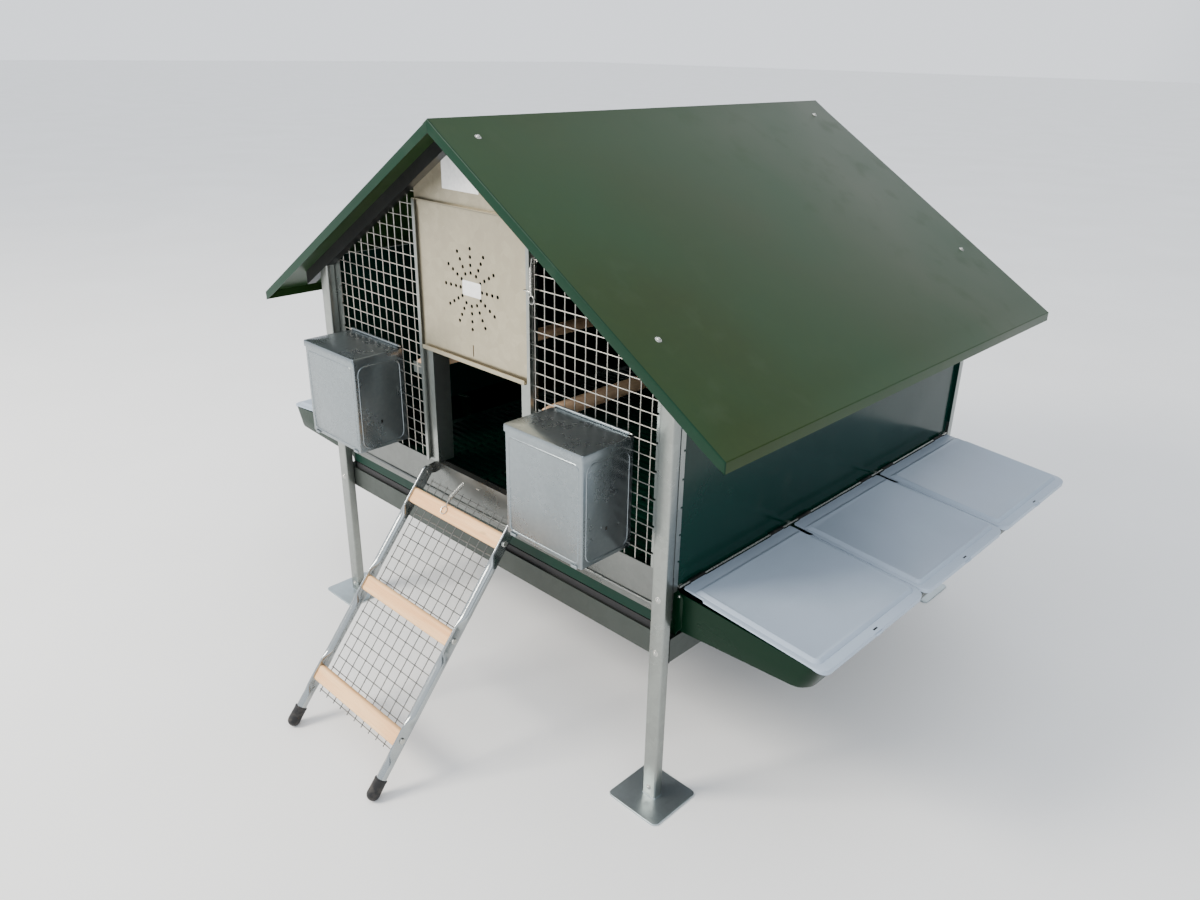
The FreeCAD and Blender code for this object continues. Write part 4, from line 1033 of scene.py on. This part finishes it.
def build_ladder_catch():
    """Coil spring lying from the hinge to a pull ring on the top rung."""
    x = -32 * mm
    start = ladder.at(x, -12 * mm, -4 * mm)
    end = ladder.at(x, 30 * mm, 11.4 * mm)
    ring_t = rung_places[0] - 2 * mm
    lift = rung_thickness / 2 + 1.4 * mm
    shape = Shape()
    shape.coil(start, end, 3.2 * mm, 27, spring_wire)
    shape.tube([end, ladder.at(x, 36 * mm, lift + 1.2 * mm), ladder.at(x, ring_t - 8 * mm, lift)], 1.0 * mm)
    shape.loop(ladder.at(x, ring_t, lift), 8 * mm, 1.0 * mm, (X, ladder.down))
    shape.make("ladder_spring_catch", "ladder", "zinc_fastener", ["ladder_catch"])


# ---------------- door
def build_door_catch():
    """Coil spring hung on the wire, with a hook over the door's edge and a pull ring."""
    pivot = Vector(HINGES["door_catch_swing"]["pos_m"])
    x = pivot.x
    ring_radius, wire = 6.5 * mm, 1.1 * mm
    wire_room = 1.72 * mm                     # from the ring's bar to the hinge line on the mesh wire
    ring_y = pivot.y - ring_radius + wire + wire_room
    hang_y = front - 9 * mm - wire - 0.6 * mm
    top = Vector((x, hang_y, pivot.z - 9 * mm))
    bottom = top - Z * 50 * mm
    shape = Shape()
    shape.loop(Vector((x, ring_y, pivot.z)), ring_radius, wire, (Y, Z))
    shape.tube([(x, ring_y - ring_radius, pivot.z), (x, hang_y, pivot.z - 5 * mm), top], wire)
    shape.coil(top, bottom, 3.3 * mm, 31, spring_wire)
    shape.loop(bottom - Z * 7.6 * mm, 7 * mm, wire, (X, Z))
    hook_z = bottom.z + 6 * mm
    tip_x = low("door_catch").x + 1.4 * mm
    shape.tube([(x, hang_y, bottom.z + 1 * mm), (x - 2 * mm, hang_y, hook_z),
                (tip_x + 2 * mm, hang_y, hook_z), (tip_x, hang_y + 1.4 * mm, hook_z),
                (tip_x, front - 4.1 * mm, hook_z)], wire)
    shape.make("door_spring_catch", "door_catch", "zinc_fastener", ["door_catch"])


def build_labels():
    """Blank labels: a small one in the sunburst and a larger one on the gable."""
    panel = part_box("door_panel")
    middle = Vector((1.5 * mm, 0, (panel[0].z + panel[1].z) / 2 + 1 * mm))
    face_y = front - 3.5 * mm
    paper, edge, lift = 0.12 * mm, 0.05 * mm, 0.1 * mm
    shape = Shape()
    shape.slab((middle.x, face_y - lift, middle.z), (26.5 * mm, 14 * mm, paper), 3 * mm, edge, (X, Z, -Y))
    shape.make("door_label", "door", "galvanised", [], [LOOKS["label"]])
    shape = Shape()
    shape.slab((-24 * mm, front - sheet - lift, low("gable_front").z + 56 * mm),
               (52 * mm, 29 * mm, paper), 1 * mm, edge, (X, Z, -Y))
    shape.make("gable_label", "coop", "galvanised", [], [LOOKS["label"]])


# ---------------- inside
def build_perches():
    """Turned wooden perches, a little uneven, with eased ends."""
    rng = random.Random(7)
    for side, sign in SIDES.items():
        node = "perch_" + side
        a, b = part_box(node)
        centre = (a + b) / 2
        radius = (b.x - a.x) / 2
        count = 60
        swells = [rng.uniform(-0.35, 0.1) * mm for _ in range(9)]
        rings = []
        for k in range(count + 1):
            share = k / count
            y = a.y + (b.y - a.y) * share
            slot_place = share * (len(swells) - 1)
            n = min(int(slot_place), len(swells) - 2)
            swell = swells[n] + (swells[n + 1] - swells[n]) * smooth_step(slot_place - n)
            ease = 2.5 * mm if k in (0, count) else 0.0
            here = radius + swell - ease
            rings.append([(centre.x + here * math.cos(t), y, centre.z + here * math.sin(t))
                          for t in full_turn(24)])
        shape = Shape()
        shape.rings(rings)
        shape.make(node + "_wood", "coop", "perch_wood", [node])


# ---------------- CAD nodes that stay
def finish_cad():
    """Gives each carried-over CAD node the look of its material slot."""
    for subpart in frame["record"]["subparts"]:
        obj = frame["nodes"][subpart["node"]]
        if obj.hide_render:
            continue
        look = LOOKS[CAD_LOOKS.get(subpart["node"], subpart["material_slot"])]
        obj.data.materials.clear()
        obj.data.materials.append(look)


# ---------------- stage
def area_light(name, place, target, size, power, colour):
    """A square soft light aimed at a point."""
    data = bpy.data.lights.new(name, "AREA")
    data.shape = "SQUARE"
    data.size = size
    data.energy = power
    data.color = colour
    obj = bpy.data.objects.new(name, data)
    obj.location = place
    obj.rotation_euler = (Vector(target) - Vector(place)).to_track_quat("-Z", "Y").to_euler()
    scene.collection.objects.link(obj)


def build_floor():
    """A pale floor that runs to the horizon."""
    reach = 60.0
    mesh = bpy.data.meshes.new("floor")
    mesh.from_pydata([(-reach, -reach, 0), (reach, -reach, 0), (reach, reach, 0), (-reach, reach, 0)], [],
                     [[0, 1, 2, 3]])
    obj = bpy.data.objects.new("floor", mesh)
    scene.collection.objects.link(obj)
    look = Look("floor_pale")
    patches = look.spread(look.noise(1.5, 3), 0.3, 0.7, 0, 1)
    colour = look.mix(patches, (0.90, 0.90, 0.89), (0.94, 0.94, 0.935))
    mesh.materials.append(look.done(colour, look.spread(look.noise(6, 2), 0, 1, 0.75, 0.85),
                                    look.bump(look.noise(200, 2), 0.05, 0.1 * mm)))


def build_sky():
    """A pale sky, darker towards one side, which the metal reflects."""
    world = bpy.data.worlds.new("sky")
    scene.world = world
    world.use_nodes = True
    sky = Wiring(world.node_tree)
    facing = sky.node("VectorMath")
    facing.operation = "DOT_PRODUCT"
    sky.link(sky.node("TexCoord").outputs["Generated"], facing.inputs[0])
    sky.link((0.80, 0.60, -0.25), facing.inputs[1])
    share = sky.node("MapRange", Value=facing.outputs["Value"], From_Min=0.35, From_Max=0.85)
    background = sky.tree.nodes["Background"]
    background.inputs["Strength"].default_value = 1.5
    colour = sky.mix(share.outputs["Result"], (0.90, 0.94, 1.0), (0.10, 0.115, 0.12))
    sky.link(colour, background.inputs["Color"])


def build_lights():
    """A warm key light from the front left and a weak cool fill from the front right."""
    middle = (cad_low + cad_high) / 2
    area_light("key", (-2.2, -4.0, 3.8), middle, 1.8, 380, (1.0, 0.94, 0.84))
    area_light("fill", (3.4, -2.4, 3.2), middle, 2.4, 40, (0.90, 0.95, 1.0))


def build_camera():
    """The photograph's viewpoint."""
    data = bpy.data.cameras.new("camera")
    data.sensor_width = 36.0
    data.lens = 27.845
    place = Vector((1.3318, -1.3916, 1.2706))
    yaw, pitch, roll = 0.76516, -0.41051, 0.01919       # radians
    forward = Vector((-math.sin(yaw) * math.cos(pitch), math.cos(yaw) * math.cos(pitch), math.sin(pitch)))
    level = Vector((math.cos(yaw), math.sin(yaw), 0))
    above = level.cross(forward)
    right = math.cos(roll) * level + math.sin(roll) * above
    up = -math.sin(roll) * level + math.cos(roll) * above
    obj = bpy.data.objects.new("camera", data)
    turn = Matrix((right, up, -forward)).transposed().to_4x4()
    obj.matrix_world = Matrix.Translation(place) @ turn
    scene.collection.objects.link(obj)
    scene.camera = obj


for side_name in SIDES:
    build_roof(side_name)
    build_mesh_panel(side_name)
    build_feeder_box(side_name)
    build_feeder_lid(side_name)
    build_tubs(side_name)
    build_end_brackets(side_name)
    build_rail(side_name)
    for lid_number in (1, 2, 3):
        build_lid(side_name, lid_number)
for rung_number in (1, 2, 3):
    build_rung(rung_number)
build_posts()
build_bolt_heads()
build_feet()
build_ladder_mesh()
build_caps()
build_ladder_catch()
build_door_catch()
build_labels()
build_perches()
finish_cad()
build_floor()
build_sky()
build_lights()
build_camera()
